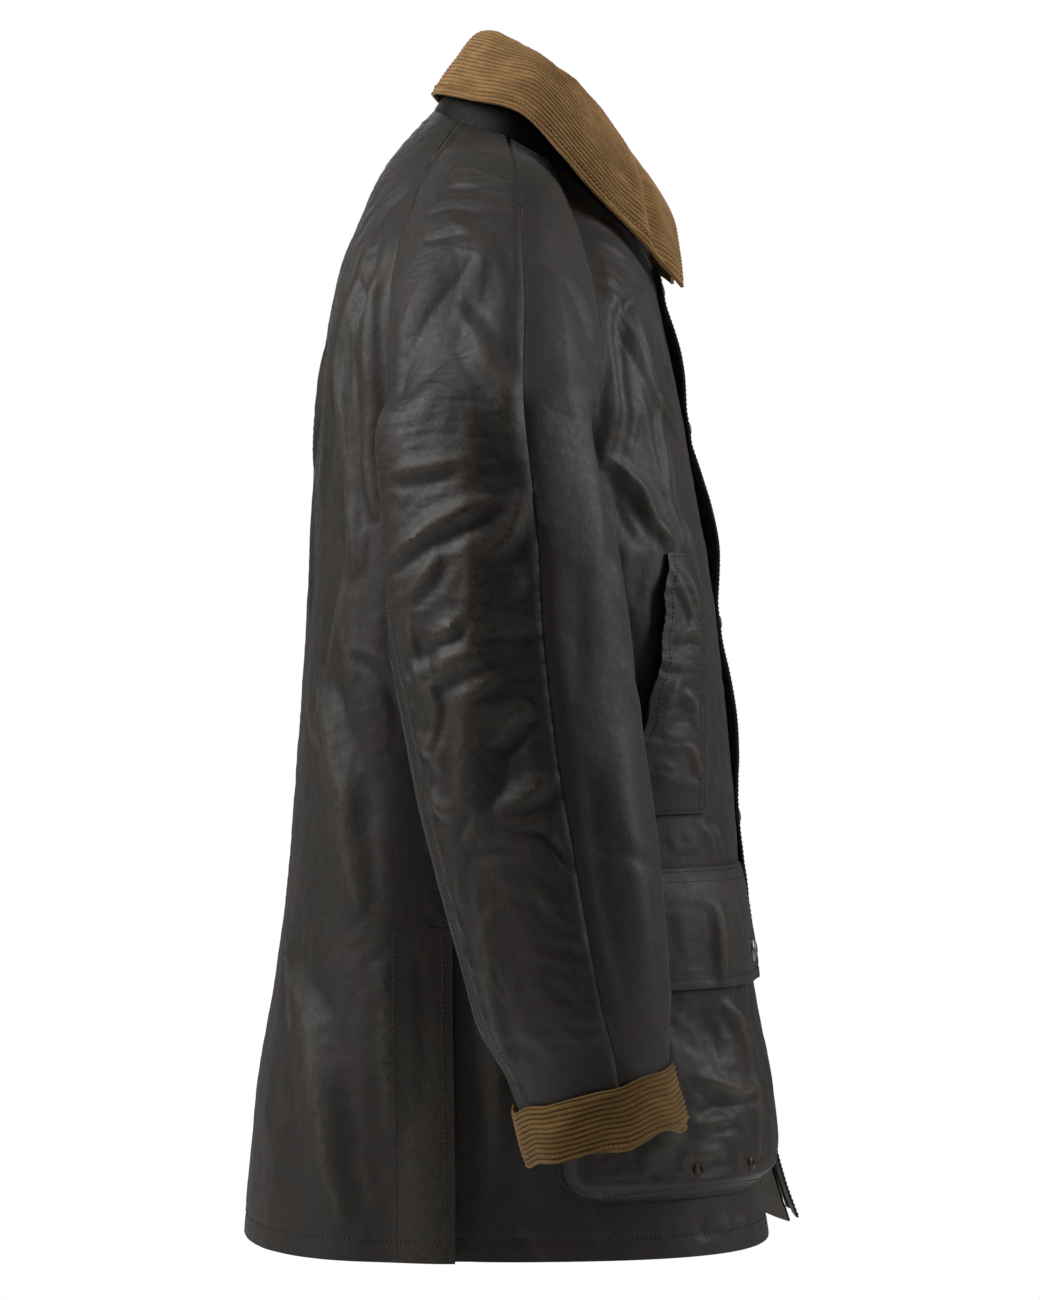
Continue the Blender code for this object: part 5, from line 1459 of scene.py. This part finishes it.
def zip_tape(sizes):
    """The zip's two tapes, side by side behind the fronts' edges."""
    z = np.linspace(ZIP_TOP, ZIP_FOOT, round((ZIP_TOP - ZIP_FOOT) / sizes.cell) + 1)
    x, z = np.meshgrid(np.linspace(-ZIP_HALF, ZIP_HALF, 13), z)
    y = np.maximum(front_edge_y(z, False), front_edge_y(z, True)) + ZIP_DEEP
    y = y + np.maximum(z - ZIP_DEEP_TOP, 0) * ZIP_DEEP_SLOPE + 0.0006 * bell(x, 0.003)
    return Panel(np.stack([x, y, z], axis=-1), on_axis(z[:, 0]))


def zip_teeth(tape):
    """The chain of teeth down the middle of the tapes."""
    line = tape.points[:, tape.points.shape[1] // 2]
    heights = np.arange(ZIP_FOOT + 0.004, ZIP_TOP - 0.004, TOOTH_PITCH / 2)
    corners = np.array([(x, y, z) for x in (-1, 1) for y in (-1, 1) for z in (-1, 1)]) * TOOTH
    sides = np.where(np.arange(len(heights)) % 2, TOOTH_REACH, -TOOTH_REACH)
    middles = np.column_stack([sides, np.interp(-heights, -line[:, 2], line[:, 1]) - TOOTH[1], heights])
    vertices = (middles[:, None] + corners).reshape(-1, 3)
    faces = (8 * np.arange(len(heights))[:, None, None] + BOX_FACES).reshape(-1, 4)
    return new_piece("zip_teeth", vertices.tolist(), faces.tolist(), [finish("brass")])


BOX_FACES = [(0, 1, 3, 2), (4, 6, 7, 5), (0, 4, 5, 1), (2, 3, 7, 6), (0, 2, 6, 4), (1, 5, 7, 3)]


# ---------------------------------------------------------------- hardware
FLY_SNAP_SINK = 0.0024      # the fly's snaps lie this much closer in than their solids
CAP_SINK = 0.0003           # and the others' caps are pressed this far into their cloth
CAP_SIDES = 40
EYELET_HOLE = 0.0024
EYELET_RADIUS = 0.0044
EYELET_HEIGHT = 0.0010


def turned_mesh(name, centre, normal, profile, sides, look):
    """A round piece on a surface, turned from a closed profile of (radius, height) pairs."""
    side = unit(np.cross(normal, [0.0, 0.0, 1.0]))
    up = np.cross(side, normal)
    angles = 2 * math.pi * np.arange(sides) / sides
    spokes = np.cos(angles)[:, None] * side + np.sin(angles)[:, None] * up
    vertices = np.concatenate([centre + normal * height + radius * spokes for radius, height in profile])
    here = np.arange(len(vertices)).reshape(-1, sides)
    beside = np.roll(here, -1, axis=1)
    faces = np.stack([here, beside, np.roll(beside, -1, axis=0), np.roll(here, -1, axis=0)], axis=2)
    return new_piece(name, vertices.tolist(), faces.reshape(-1, 4).tolist(), [look], 42)


def node_place(name):
    """A hardware node's centre and the way it faces, from its own vertices."""
    points = np.array([v.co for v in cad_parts[name].data.vertices])
    centre = points.mean(axis=0)
    _, axes = np.linalg.eigh(np.cov((points - centre).T))
    normal = axes[:, 0]
    away = np.array([centre[0], centre[1], 0.0])
    if normal @ away < 0:
        normal = -normal
    low = float(((points - centre) @ normal).min())
    return centre + normal * low, normal


def seated(name):
    """Where a snap or an eyelet sits on the cloth that it is fixed to."""
    centre, normal = node_place(name)
    side = "left" if "left" in name else "right"
    if name.startswith("snap_fly"):
        return centre - normal * FLY_SNAP_SINK, normal
    panel = pockets()[("pocket_flap_" if name.startswith("snap") else "bellows_bag_") + side]
    gap = np.linalg.norm(panel.points - centre, axis=2)
    place = np.unravel_index(np.argmin(gap), gap.shape)
    normal = panel.normals()[place]
    return panel.points[place] - normal * CAP_SINK, normal


def snap_profile(radius, height):
    """A snap's cap: a flat flange, a rolled rim, a dished ring and a low dome."""
    shares = [(0.0, 0.0), (0.90, 0.0), (1.0, 0.16), (0.985, 0.40), (0.90, 0.58), (0.80, 0.62), (0.72, 0.56),
              (0.64, 0.60), (0.56, 0.78), (0.40, 0.93), (0.20, 0.99), (0.0, 1.0)]
    return [(max(radius * across, 0.0001), height * rise) for across, rise in shares]


def eyelet_profile(hole, radius, height):
    """An eyelet: a rolled ring round an open hole."""
    return [(hole, 0.0), (radius, 0.0), (radius, height * 0.35), (radius * 0.90, height * 0.8),
            (radius * 0.74, height), (hole * 1.30, height * 0.86), (hole, height * 0.45)]


# ---------------------------------------------------------------- finishes
class Nodes:
    """Adds nodes to a material's or the world's tree and joins them."""

    def __init__(self, tree):
        self.tree = tree

    def fill(self, node, inputs):
        """Gives a node's inputs their values or other nodes' outputs."""
        for key, value in dict(inputs).items():
            if isinstance(value, bpy.types.NodeSocket):
                self.tree.links.new(value, node.inputs[key])
            else:
                node.inputs[key].default_value = value

    def add(self, kind, inputs=(), output=0, **settings):
        """Adds a node with its settings and inputs, and gives one of its outputs."""
        node = self.tree.nodes.new("ShaderNode" + kind)
        for key, value in settings.items():
            setattr(node, key, value)
        self.fill(node, inputs)
        return node.outputs[output]

    def math(self, operation, first, second=0.0, clamp=False):
        """One step of arithmetic."""
        return self.add("Math", {0: first, 1: second}, operation=operation, use_clamp=clamp)

    def between(self, value, low, high, to_low=0.0, to_high=1.0):
        """A value's range stretched to another, clamped."""
        return self.add("MapRange", {"Value": value, "From Min": low, "From Max": high,
                                     "To Min": to_low, "To Max": to_high})

    def mix(self, share, first, second):
        """Two colours mixed."""
        return self.add("Mix", {0: share, 6: first, 7: second}, 2, data_type="RGBA")

    def noise(self, place, scale, detail=3.0, roughness=0.6, kind="FBM"):
        """A noise texture's value."""
        return self.add("TexNoise", {"Vector": place, "Scale": scale, "Detail": detail,
                                     "Roughness": roughness}, noise_type=kind)

    def bump(self, height, strength, distance, **under):
        """A normal moved by a height, on top of another bump's Normal if there is one."""
        return self.add("Bump", {"Height": height, "Strength": strength, "Distance": distance, **under})


def shade_of(colour, factor):
    """A colour made darker or lighter."""
    return (colour[0] * factor, colour[1] * factor, colour[2] * factor, 1.0)


def new_material(name):
    """An empty material: itself, its nodes, its Principled shader and the place on the piece."""
    material = bpy.data.materials.new(name)
    material.use_nodes = True
    tree = material.node_tree
    tree.nodes.clear()
    output = tree.nodes.new("ShaderNodeOutputMaterial")
    shader = tree.nodes.new("ShaderNodeBsdfPrincipled")
    tree.links.new(shader.outputs["BSDF"], output.inputs["Surface"])
    nodes = Nodes(tree)
    return material, nodes, shader, nodes.add("TexCoord", (), "Object")


def waxed_finish(name, colour, bloom, gloss_level):
    """Waxed cotton: satin weave, patchy wax, crackled creases, rubbed wax and painted highlight on ridges,
    painted shade in hollows.
    """
    material, nodes, shader, place = new_material(name)
    mix = nodes.mix
    between = nodes.between
    flat = nodes.add("UVMap", uv_map="cloth")
    ridge, crest = (nodes.add("Attribute", (), "Fac", attribute_name=key) for key in ("ridge", "crest"))
    patches = nodes.noise(place, 9.0, 5.0)
    streaks = nodes.noise(nodes.add("Mapping", {"Vector": flat, "Scale": (1.0, 0.35, 1.0)}), 60.0, 4.0)
    crackle = nodes.noise(place, 55.0, 5.0, 0.62, "RIDGED_MULTIFRACTAL")
    rubs = nodes.noise(place, 38.0, 6.0, 0.70, "RIDGED_MULTIFRACTAL")
    fine = nodes.noise(place, 210.0, 4.0)
    grain = nodes.noise(place, 800.0, 2.0, 0.5)
    warp, weft = (nodes.add("TexWave", {"Vector": flat, "Scale": scale, "Distortion": 0.6, "Detail": 1.0},
                            "Fac", bands_direction=way) for way, scale in (("X", 320.0), ("Y", 360.0)))
    weave = nodes.math("MULTIPLY", warp, weft)
    cool, warm = (tuple(np.array(colour) * tone)
                  for tone in ((0.90, 1.03, 0.98, 1.0), (1.16, 0.97, 1.02, 1.0)))
    base = mix(between(nodes.noise(place, 26.0, 3.0, 0.55), 0.42, 0.58), cool, warm)
    base = mix(between(patches, 0.36, 0.66, 0.35, 0.0), base, shade_of(colour, 0.55))
    base = mix(between(streaks, 0.50, 0.78, 0.0, 0.40), base, bloom)
    lines = nodes.math("MULTIPLY", between(rubs, 0.72, 1.15, 0.0, 0.55), between(patches, 0.42, 0.62, 0.15))
    base = mix(lines, base, bloom)
    # Paler on raised folds and ridge tops: partly wax rubbed off the folds, partly painted highlight where
    # light catches them.
    worn = nodes.math("ADD", between(ridge, 0.0012, 0.0060, 0.0, 0.45), between(crest, 0.25, 1.0, 0.0, 0.75))
    worn = nodes.math("MULTIPLY", worn, between(fine, 0.36, 0.62, 0.25), clamp=True)
    base = mix(worn, base, bloom)
    # Painted shade: the deep hollows of the folds are darkened.
    base = mix(between(ridge, -0.0012, -0.0050, 0.0, 0.75), base, shade_of(colour, 0.38))
    base = mix(between(weave, 0.0, 1.0, 0.0, 0.22), base, shade_of(colour, 2.1))
    base = mix(between(grain, 0.40, 0.60, 0.0, 0.50), base, shade_of(colour, 0.35))
    gloss = nodes.math("ADD", between(patches, 0.3, 0.7, 0.53, 0.63), between(fine, 0.3, 0.7, -0.05, 0.06))
    normal = nodes.bump(crackle, 0.5, 0.0009)
    normal = nodes.bump(fine, 0.6, 0.0005, Normal=normal)
    normal = nodes.bump(nodes.math("ADD", weave, grain), 0.35, 0.00012, Normal=normal)
    nodes.fill(shader, {"Base Color": base, "Roughness": gloss, "Normal": normal,
                        "Specular IOR Level": gloss_level, "Sheen Weight": 0.10, "Sheen Roughness": 0.35})
    return material


def corduroy_finish(name, colour, pitch):
    """Corduroy: ribs with painted shade in the grooves between them, and a short uneven pile."""
    material, nodes, shader, place = new_material(name)
    between = nodes.between
    flat = nodes.add("UVMap", uv_map="cloth")
    turn = nodes.math("MULTIPLY", nodes.add("SeparateXYZ", {0: flat}, 1), 2 * math.pi / pitch)
    rib = between(nodes.math("COSINE", turn), -1.0, -0.10)
    along = nodes.add("Mapping", {"Vector": flat, "Scale": (0.35, 1.0, 1.0)})
    pile = nodes.noise(along, 900.0, 4.0, 0.65)
    patches = nodes.noise(place, 22.0, 4.0)
    rubbed = nodes.noise(along, 130.0)
    worn = nodes.noise(along, 55.0, 4.0, 0.65)
    # Painted shade: the grooves between the ribs are darkened here, and once more in the loop below.
    base = nodes.mix(rib, shade_of(colour, 0.30), colour)
    for share, factor in ((between(patches, 0.35, 0.68, 0.0, 0.55), 1.35),
                          (between(rib, 0.0, 0.85, 0.85, 0.0), 0.18),
                          (between(pile, 0.3, 0.7, 0.0, 0.55), 0.50),
                          (between(rubbed, 0.45, 0.75, 0.0, 0.45), 1.6),
                          (between(worn, 0.40, 0.62, 0.45, 0.0), 0.48)):
        base = nodes.mix(share, base, shade_of(colour, factor))
    nodes.fill(shader, {"Base Color": base, "Roughness": 0.9, "Specular IOR Level": 0.2,
                        "Sheen Weight": 0.22, "Sheen Roughness": 0.4, "Sheen Tint": (0.9, 0.75, 0.55, 1.0),
                        "Normal": nodes.bump(pile, 0.8, 0.0005)})
    return material


def woven_finish(name, colour, scale, roughness, spread=0.3):
    """Plain woven cloth for linings, tape and thread, and paper."""
    material, nodes, shader, place = new_material(name)
    weave = nodes.noise(place, scale)
    patches = nodes.between(nodes.noise(place, 14.0), 0.3, 0.7, 0.0, spread)
    dark, pale = (shade_of(colour, 1 + step) for step in (-spread, spread))
    base = nodes.mix(nodes.between(weave, 0.3, 0.7), dark, pale)
    nodes.fill(shader, {"Base Color": nodes.mix(patches, base, shade_of(colour, 0.6)),
                        "Roughness": roughness, "Normal": nodes.bump(weave, 0.5, 0.0002)})
    return material


def metal_finish(name, colour, tarnish, roughness):
    """Plated metal with tarnished spots and fine scratches."""
    material, nodes, shader, place = new_material(name)
    spots = nodes.noise(place, 420.0, 4.0)
    scratches = nodes.noise(nodes.add("Mapping", {"Vector": place, "Scale": (1.0, 1.0, 0.15)}), 1400.0)
    nodes.fill(shader, {"Base Color": nodes.mix(nodes.between(spots, 0.45, 0.70, 0.0, 0.7), colour, tarnish),
                        "Roughness": nodes.between(scratches, 0.3, 0.7, roughness - 0.08, roughness + 0.14),
                        "Metallic": 1.0, "Normal": nodes.bump(scratches, 0.15, 0.0001)})
    return material


@functools.lru_cache(maxsize=None)
def finish(name):
    """A finish by its name, made once."""
    colours = bpy.context.scene.jacket_colours
    waxed, bloom, corduroy, cuffs, lining, thread = (
        tuple(getattr(colours, key)) for key in ("waxed", "bloom", "corduroy", "cuffs", "lining", "thread"))
    pitch = bpy.context.scene.jacket_sizes.wale_pitch
    makers = {
        "waxed cotton": (waxed_finish, waxed, bloom, 0.45),
        # A darker copy of the waxed cotton for the stand: painted shade under the collar's fall.
        "waxed cotton, dark": (waxed_finish, shade_of(waxed, 0.40), shade_of(bloom, 0.35), 0.15),
        "corduroy": (corduroy_finish, corduroy, pitch),
        "corduroy, cuffs": (corduroy_finish, cuffs, CUFF_WALE * pitch),
        "lining": (woven_finish, lining, 1300.0, 0.8),
        "zip tape": (woven_finish, (0.012, 0.011, 0.010, 1.0), 1500.0, 0.75),
        "brown thread": (woven_finish, shade_of(corduroy, 0.55), 2600.0, 0.6),
        "thread": (woven_finish, thread, 2600.0, 0.6),
        "brass": (metal_finish, (0.085, 0.066, 0.044, 1.0), (0.02, 0.015, 0.010, 1.0), 0.48),
        "nickel": (metal_finish, (0.30, 0.285, 0.26, 1.0), (0.09, 0.08, 0.07, 1.0), 0.36),
    }
    maker, *values = makers[name]
    return maker(name, *values)


# ---------------------------------------------------------------- settings
def length(name, description, default, low, high):
    """A length in metres that the sidebar shows."""
    return FloatProperty(name=name, description=description, default=default, min=low, max=high,
                         unit="LENGTH")


def colour(name, description, *tone):
    """A colour that the sidebar shows."""
    return FloatVectorProperty(name=name, description=description, default=(*tone, 1.0), size=4,
                               subtype="COLOR", min=0, max=1)


class JacketSizes(bpy.types.PropertyGroup):
    """Sizes of the jacket's cloth and its making."""

    cell: length("Cloth cell", "Spacing of the points that the cloth is made of", 0.0035, 0.002, 0.02)
    waxed_wall: length("Waxed cotton", "Thickness of the waxed cotton and its lining", 0.0016, 0.0005, 0.004)
    cord_wall: length("Corduroy", "Thickness of the corduroy pieces", 0.0026, 0.001, 0.005)
    crease_depth: FloatProperty(name="Crease depth", description="How deep all folds and creases are",
                                default=1.0, min=0.0, max=2.0, subtype="FACTOR")
    wale_pitch: length("Wale pitch", "From one corduroy rib to the next", 0.0030, 0.002, 0.006)
    wale_depth: length("Wale depth", "Depth of the grooves between the ribs", 0.0008, 0.0, 0.002)
    stitch_pitch: length("Stitch pitch", "From one stitch to the next", 0.0034, 0.002, 0.01)
    thread_radius: length("Thread", "Half the thickness of the topstitching", 0.0005, 0.0002, 0.001)
    snap_radius: length("Snap radius", "Radius of a snap's cap", 0.0085, 0.004, 0.015)
    snap_height: length("Snap height", "Height of a snap's cap", 0.0042, 0.001, 0.008)


class JacketColours(bpy.types.PropertyGroup):
    """Colours of the jacket's cloth and thread."""

    waxed: colour("Waxed cotton", "Colour of the waxed cotton", 0.0158, 0.0119, 0.0082)
    # Wax bloom colour, which also serves as the painted highlight on the ridges of the folds.
    bloom: colour("Wax bloom", "Paler colour where the wax is rubbed", 0.050, 0.040, 0.030)
    corduroy: colour("Corduroy", "Colour of the corduroy collar", 0.350, 0.196, 0.075)
    cuffs: colour("Cuffs", "Colour of the corduroy cuffs", 0.185, 0.105, 0.032)
    lining: colour("Lining", "Colour of the cotton lining", 0.060, 0.050, 0.036)
    thread: colour("Thread", "Colour of the topstitching", 0.030, 0.025, 0.019)


class JacketStudio(bpy.types.PropertyGroup):
    """The floor, the lights and the camera."""

    distance: length("Camera distance", "From the jacket's middle to the camera", 3.2, 1.0, 10.0)
    lens: FloatProperty(name="Lens", description="Focal length of the camera in millimetres",
                        default=121.4, min=20, max=300)
    height: length("Camera height", "Height of the camera on the jacket", -0.388, -3.0, 3.0)
    forward: length("Camera place", "How far the camera is behind the neck", -0.011, -3.0, 3.0)
    key: FloatProperty(name="Light behind", default=88.0, min=0,
                       description="Power of the soft light behind the back, in watts")
    fill: FloatProperty(name="Light in front", default=49.0, min=0,
                        description="Power of the soft light before the front, in watts")
    top: FloatProperty(name="Light above", default=12.0, min=0,
                       description="Power of the soft light overhead, in watts")
    far: FloatProperty(name="Light beyond", default=16.0, min=0,
                       description="Power of the soft light on the left side, in watts")
    glow: FloatProperty(name="Floor", default=0.15, min=0,
                        description="How much the floor glows, as a lit paper sweep does")
    room: FloatProperty(name="Room", default=0.044, min=0,
                        description="Brightness of the pale room all round")


# ---------------------------------------------------------------- operators
class PieceMaker:
    """What the operators that make the jacket share."""

    bl_options = {"REGISTER", "UNDO"}


def make_shell(name, panel, node, slot, looks, rows=(), thread="thread", closed=False):
    sizes = bpy.context.scene.jacket_sizes
    wall = sizes.cord_wall if slot == "corduroy" else sizes.waxed_wall
    piece = shell(name, panel, wall, [finish(look) for look in looks], closed)
    stitching = []
    if rows:
        stitches = Thread(sizes)
        for row in rows:
            stitches.edge(panel, *row)
        stitching = [stitches.make(name + "_stitching", finish(thread))]
        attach(stitching[0], "root")
    as_sheet(piece, [node])


class JACKET_OT_back(PieceMaker, bpy.types.Operator):
    """Make the back with its side vents"""

    bl_idname = "jacket.back"
    bl_label = "Back"

    def execute(self, context):
        back = cloth()["back"]
        vent = back.vent_row / (len(back.points) - 1)
        rows = [("foot", HEM_DEPTH)]
        for side in ("start", "end"):
            rows += [(side, SEAM_STITCH, vent), (side, VENT_STITCH, vent)]
        make_shell("back_panel", back, "back", "waxed_cotton",
                   ["waxed cotton", "lining"], rows)
        return {"FINISHED"}


class JACKET_OT_fronts(PieceMaker, bpy.types.Operator):
    """Make the two fronts"""

    bl_idname = "jacket.fronts"
    bl_label = "Fronts"

    def execute(self, context):
        for side in SIDES:
            make_shell(f"front_{side}_panel", cloth()["front_" + side], "front_" + side, "waxed_cotton",
                       ["waxed cotton", "lining"],
                       [("foot", HEM_DEPTH), ("start", EDGE_STITCH)])
        return {"FINISHED"}


class JACKET_OT_sleeves(PieceMaker, bpy.types.Operator):
    """Make the raglan sleeves, each of a back piece and a front piece"""

    bl_idname = "jacket.sleeves"
    bl_label = "Sleeves"

    def execute(self, context):
        for side in SIDES:
            tube = cloth()["sleeve_" + side]
            last = tube.points.shape[1] - 1
            for part, first, end, edge in (("back", 0, tube.outer_column, "start"),
                                           ("front", tube.outer_column, last, "end")):
                node = f"sleeve_{part}_{side}"
                make_shell(node + "_panel", tube.part(first, end), node, "waxed_cotton",
                           ["waxed cotton", "lining"], [(edge, SEAM_STITCH)])
        return {"FINISHED"}


class JACKET_OT_cuffs(PieceMaker, bpy.types.Operator):
    """Make the turned-back corduroy cuffs"""

    bl_idname = "jacket.cuffs"
    bl_label = "Cuffs"

    def execute(self, context):
        for side in SIDES:
            make_shell(f"cuff_{side}_band", cuff_cloth(side, context.scene.jacket_sizes), "cuff_" + side,
                       "corduroy", ["corduroy, cuffs"],
                       [("foot", 0.0050)], "brown thread", closed=True)
        return {"FINISHED"}


class JACKET_OT_collar(PieceMaker, bpy.types.Operator):
    """Make the corduroy collar and the waxed stand under it"""

    bl_idname = "jacket.collar"
    bl_label = "Collar"

    def execute(self, context):
        sizes = context.scene.jacket_sizes
        make_shell("collar_fall", collar_cloth(sizes), "collar", "corduroy",
                   ["corduroy"], [("foot", EDGE_STITCH)], "brown thread")
        # The stand takes the darker copy of the waxed cotton: painted shade under the collar.
        make_shell("collar_band", stand_cloth(sizes), "collar_stand", "waxed_stand",
                   ["waxed cotton, dark"])
        return {"FINISHED"}


class JACKET_OT_fly(PieceMaker, bpy.types.Operator):
    """Make the storm fly and the zip behind it"""

    bl_idname = "jacket.fly"
    bl_label = "Storm fly and zip"

    def execute(self, context):
        sizes = context.scene.jacket_sizes
        make_shell("fly_panel", fly_cloth(sizes), "storm_fly", "waxed_cotton",
                   ["waxed cotton"],
                   [("start", EDGE_STITCH), ("end", 0.0080), ("end", 0.0020)])
        tape = zip_tape(sizes)
        piece = shell("zip_tape", tape, ZIP_WALL, [finish("zip tape")])
        teeth = zip_teeth(tape)
        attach(teeth, "root")
        as_sheet(piece, ["zip"])
        return {"FINISHED"}


class JACKET_OT_pockets(PieceMaker, bpy.types.Operator):
    """Make the handwarmer patches and the bellows pockets with their flaps"""

    bl_idname = "jacket.pockets"
    bl_label = "Pockets"

    def execute(self, context):
        rows = {
            "bellows_bag": [("foot", 0.0120, 0.06, 0.94), ("start", 0.0016), ("end", 0.0016)],
            "pocket_flap": [("top", 0.0030), ("top", 0.0110), ("foot", 0.0065), ("start", 0.0065),
                            ("end", 0.0065)],
            "handwarmer": [("start", 0.0020), ("start", 0.0080), ("foot", 0.0025), ("top", 0.0025),
                           ("end", 0.0070)],
        }
        for node, panel in pockets().items():
            piece, side = node.rsplit("_", 1)
            make_shell(node + "_cloth", panel, node, "waxed_cotton",
                       ["waxed cotton"], rows[piece])
        return {"FINISHED"}


class JACKET_OT_hardware(PieceMaker, bpy.types.Operator):
    """Make the snaps and the drain eyelets"""

    bl_idname = "jacket.hardware"
    bl_label = "Snaps and eyelets"

    def execute(self, context):
        sizes = context.scene.jacket_sizes
        for node in sorted(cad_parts):
            if node.startswith("snap_"):
                profile = snap_profile(sizes.snap_radius, sizes.snap_height)
                slot = "snap_metal"
            elif node.startswith("eyelet_"):
                profile = eyelet_profile(EYELET_HOLE, EYELET_RADIUS, EYELET_HEIGHT)
                slot = "eyelet_brass"
            else:
                continue
            centre, normal = seated(node)
            look = finish("nickel" if slot == "snap_metal" else "brass")
            piece = turned_mesh(node + "_cap", centre, normal, profile, CAP_SIDES, look)
            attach(piece, "root")
            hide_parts(node)
        return {"FINISHED"}


FLOOR_RADIUS = 3.5
FLOOR_Z = -1.45


def disc(name, radius, height, look):
    """A round flat stage piece."""
    turns = np.linspace(0, 2 * math.pi, 129)[:-1]
    rim = np.column_stack([radius * np.cos(turns), radius * np.sin(turns), height + 0 * turns])
    new_piece(name, rim.tolist(), [range(len(rim))], [look])


def soft_light(name, place, aim, size, power):
    """A large soft light that faces a point."""
    light = bpy.data.lights.new(name, "AREA")
    light.shape = "RECTANGLE"
    light.size, light.size_y = size
    light.energy = power
    lamp = bpy.data.objects.new(name, light)
    lamp.location = place
    lamp.rotation_euler = (Vector(aim) - Vector(place)).to_track_quat("-Z", "Y").to_euler()
    bpy.context.scene.collection.objects.link(lamp)


class JACKET_OT_studio(bpy.types.Operator):
    """Make the pale floor, the soft lights and the camera"""

    bl_idname = "jacket.studio"
    bl_label = "Studio"

    def execute(self, context):
        studio = context.scene.jacket_studio
        middle = (0.0, studio.forward, studio.height)
        pale = woven_finish("pale paper", (0.85, 0.85, 0.85, 1.0), 30.0, 0.9, 0.04)
        paper = pale.node_tree
        Nodes(paper).fill(paper.nodes["Principled BSDF"], {"Emission Color": (1.0, 1.0, 1.0, 1.0),
                                                           "Emission Strength": studio.glow})
        disc("floor", FLOOR_RADIUS, FLOOR_Z, pale)
        soft_light("key", (-0.50, 2.5, 1.4), middle, (1.0, 1.8), studio.key)
        soft_light("fill", (-0.15, -2.5, 0.9), middle, (1.0, 1.8), studio.fill)
        soft_light("top", (-0.6, 0.2, 2.0), middle, (1.6, 1.6), studio.top)
        soft_light("far side", (2.4, 0.3, 0.6), middle, (1.2, 1.8), studio.far)
        world = context.scene.world or bpy.data.worlds.new("white")
        context.scene.world = world
        world.use_nodes = True
        nodes = Nodes(world.node_tree)
        glow = nodes.between(nodes.add("LightPath", (), "Is Camera Ray"), 0.0, 1.0, studio.room, 1.0)
        nodes.fill(world.node_tree.nodes["Background"], {"Strength": glow, "Color": (1.0, 1.0, 1.0, 1.0)})
        context.scene.view_settings.view_transform = "Standard"
        camera = bpy.data.cameras.new("camera")
        camera.sensor_width = 36.0
        camera.lens = studio.lens
        holder = bpy.data.objects.new("camera", camera)
        holder.location = (-studio.distance, studio.forward, studio.height)
        holder.rotation_euler = (math.radians(90), 0.0, math.radians(-90))
        context.scene.collection.objects.link(holder)
        context.scene.camera = holder
        return {"FINISHED"}


OPERATORS = [JACKET_OT_back, JACKET_OT_fronts, JACKET_OT_sleeves, JACKET_OT_cuffs, JACKET_OT_collar,
             JACKET_OT_fly, JACKET_OT_pockets, JACKET_OT_hardware, JACKET_OT_studio]
SETTINGS = {"jacket_sizes": JacketSizes, "jacket_colours": JacketColours, "jacket_studio": JacketStudio}


class JACKET_PT_sidebar(bpy.types.Panel):
    """The jacket's settings and makers"""

    bl_label = "Waxed jacket"
    bl_idname = "JACKET_PT_sidebar"
    bl_space_type = "VIEW_3D"
    bl_region_type = "UI"
    bl_category = "Jacket"

    def draw(self, context):
        layout = self.layout
        for operator in OPERATORS:
            layout.operator(operator.bl_idname)
        for setting in SETTINGS:
            group = getattr(context.scene, setting)
            box = layout.box()
            for name in group.__annotations__:
                box.prop(group, name)


def register():
    """Adds the classes and the settings."""
    for item in [*SETTINGS.values(), *OPERATORS, JACKET_PT_sidebar]:
        bpy.utils.register_class(item)
    for name, group in SETTINGS.items():
        setattr(bpy.types.Scene, name, PointerProperty(type=group))


def unregister():
    """Removes them again."""
    for name in SETTINGS:
        delattr(bpy.types.Scene, name)
    for item in [JACKET_PT_sidebar, *OPERATORS[::-1], *SETTINGS.values()]:
        bpy.utils.unregister_class(item)


def main():
    """Makes the whole jacket and its studio."""
    register()
    for operator in OPERATORS:
        group, name = operator.bl_idname.split(".")
        getattr(getattr(bpy.ops, group), name)()


if __name__ == "__main__":
    main()
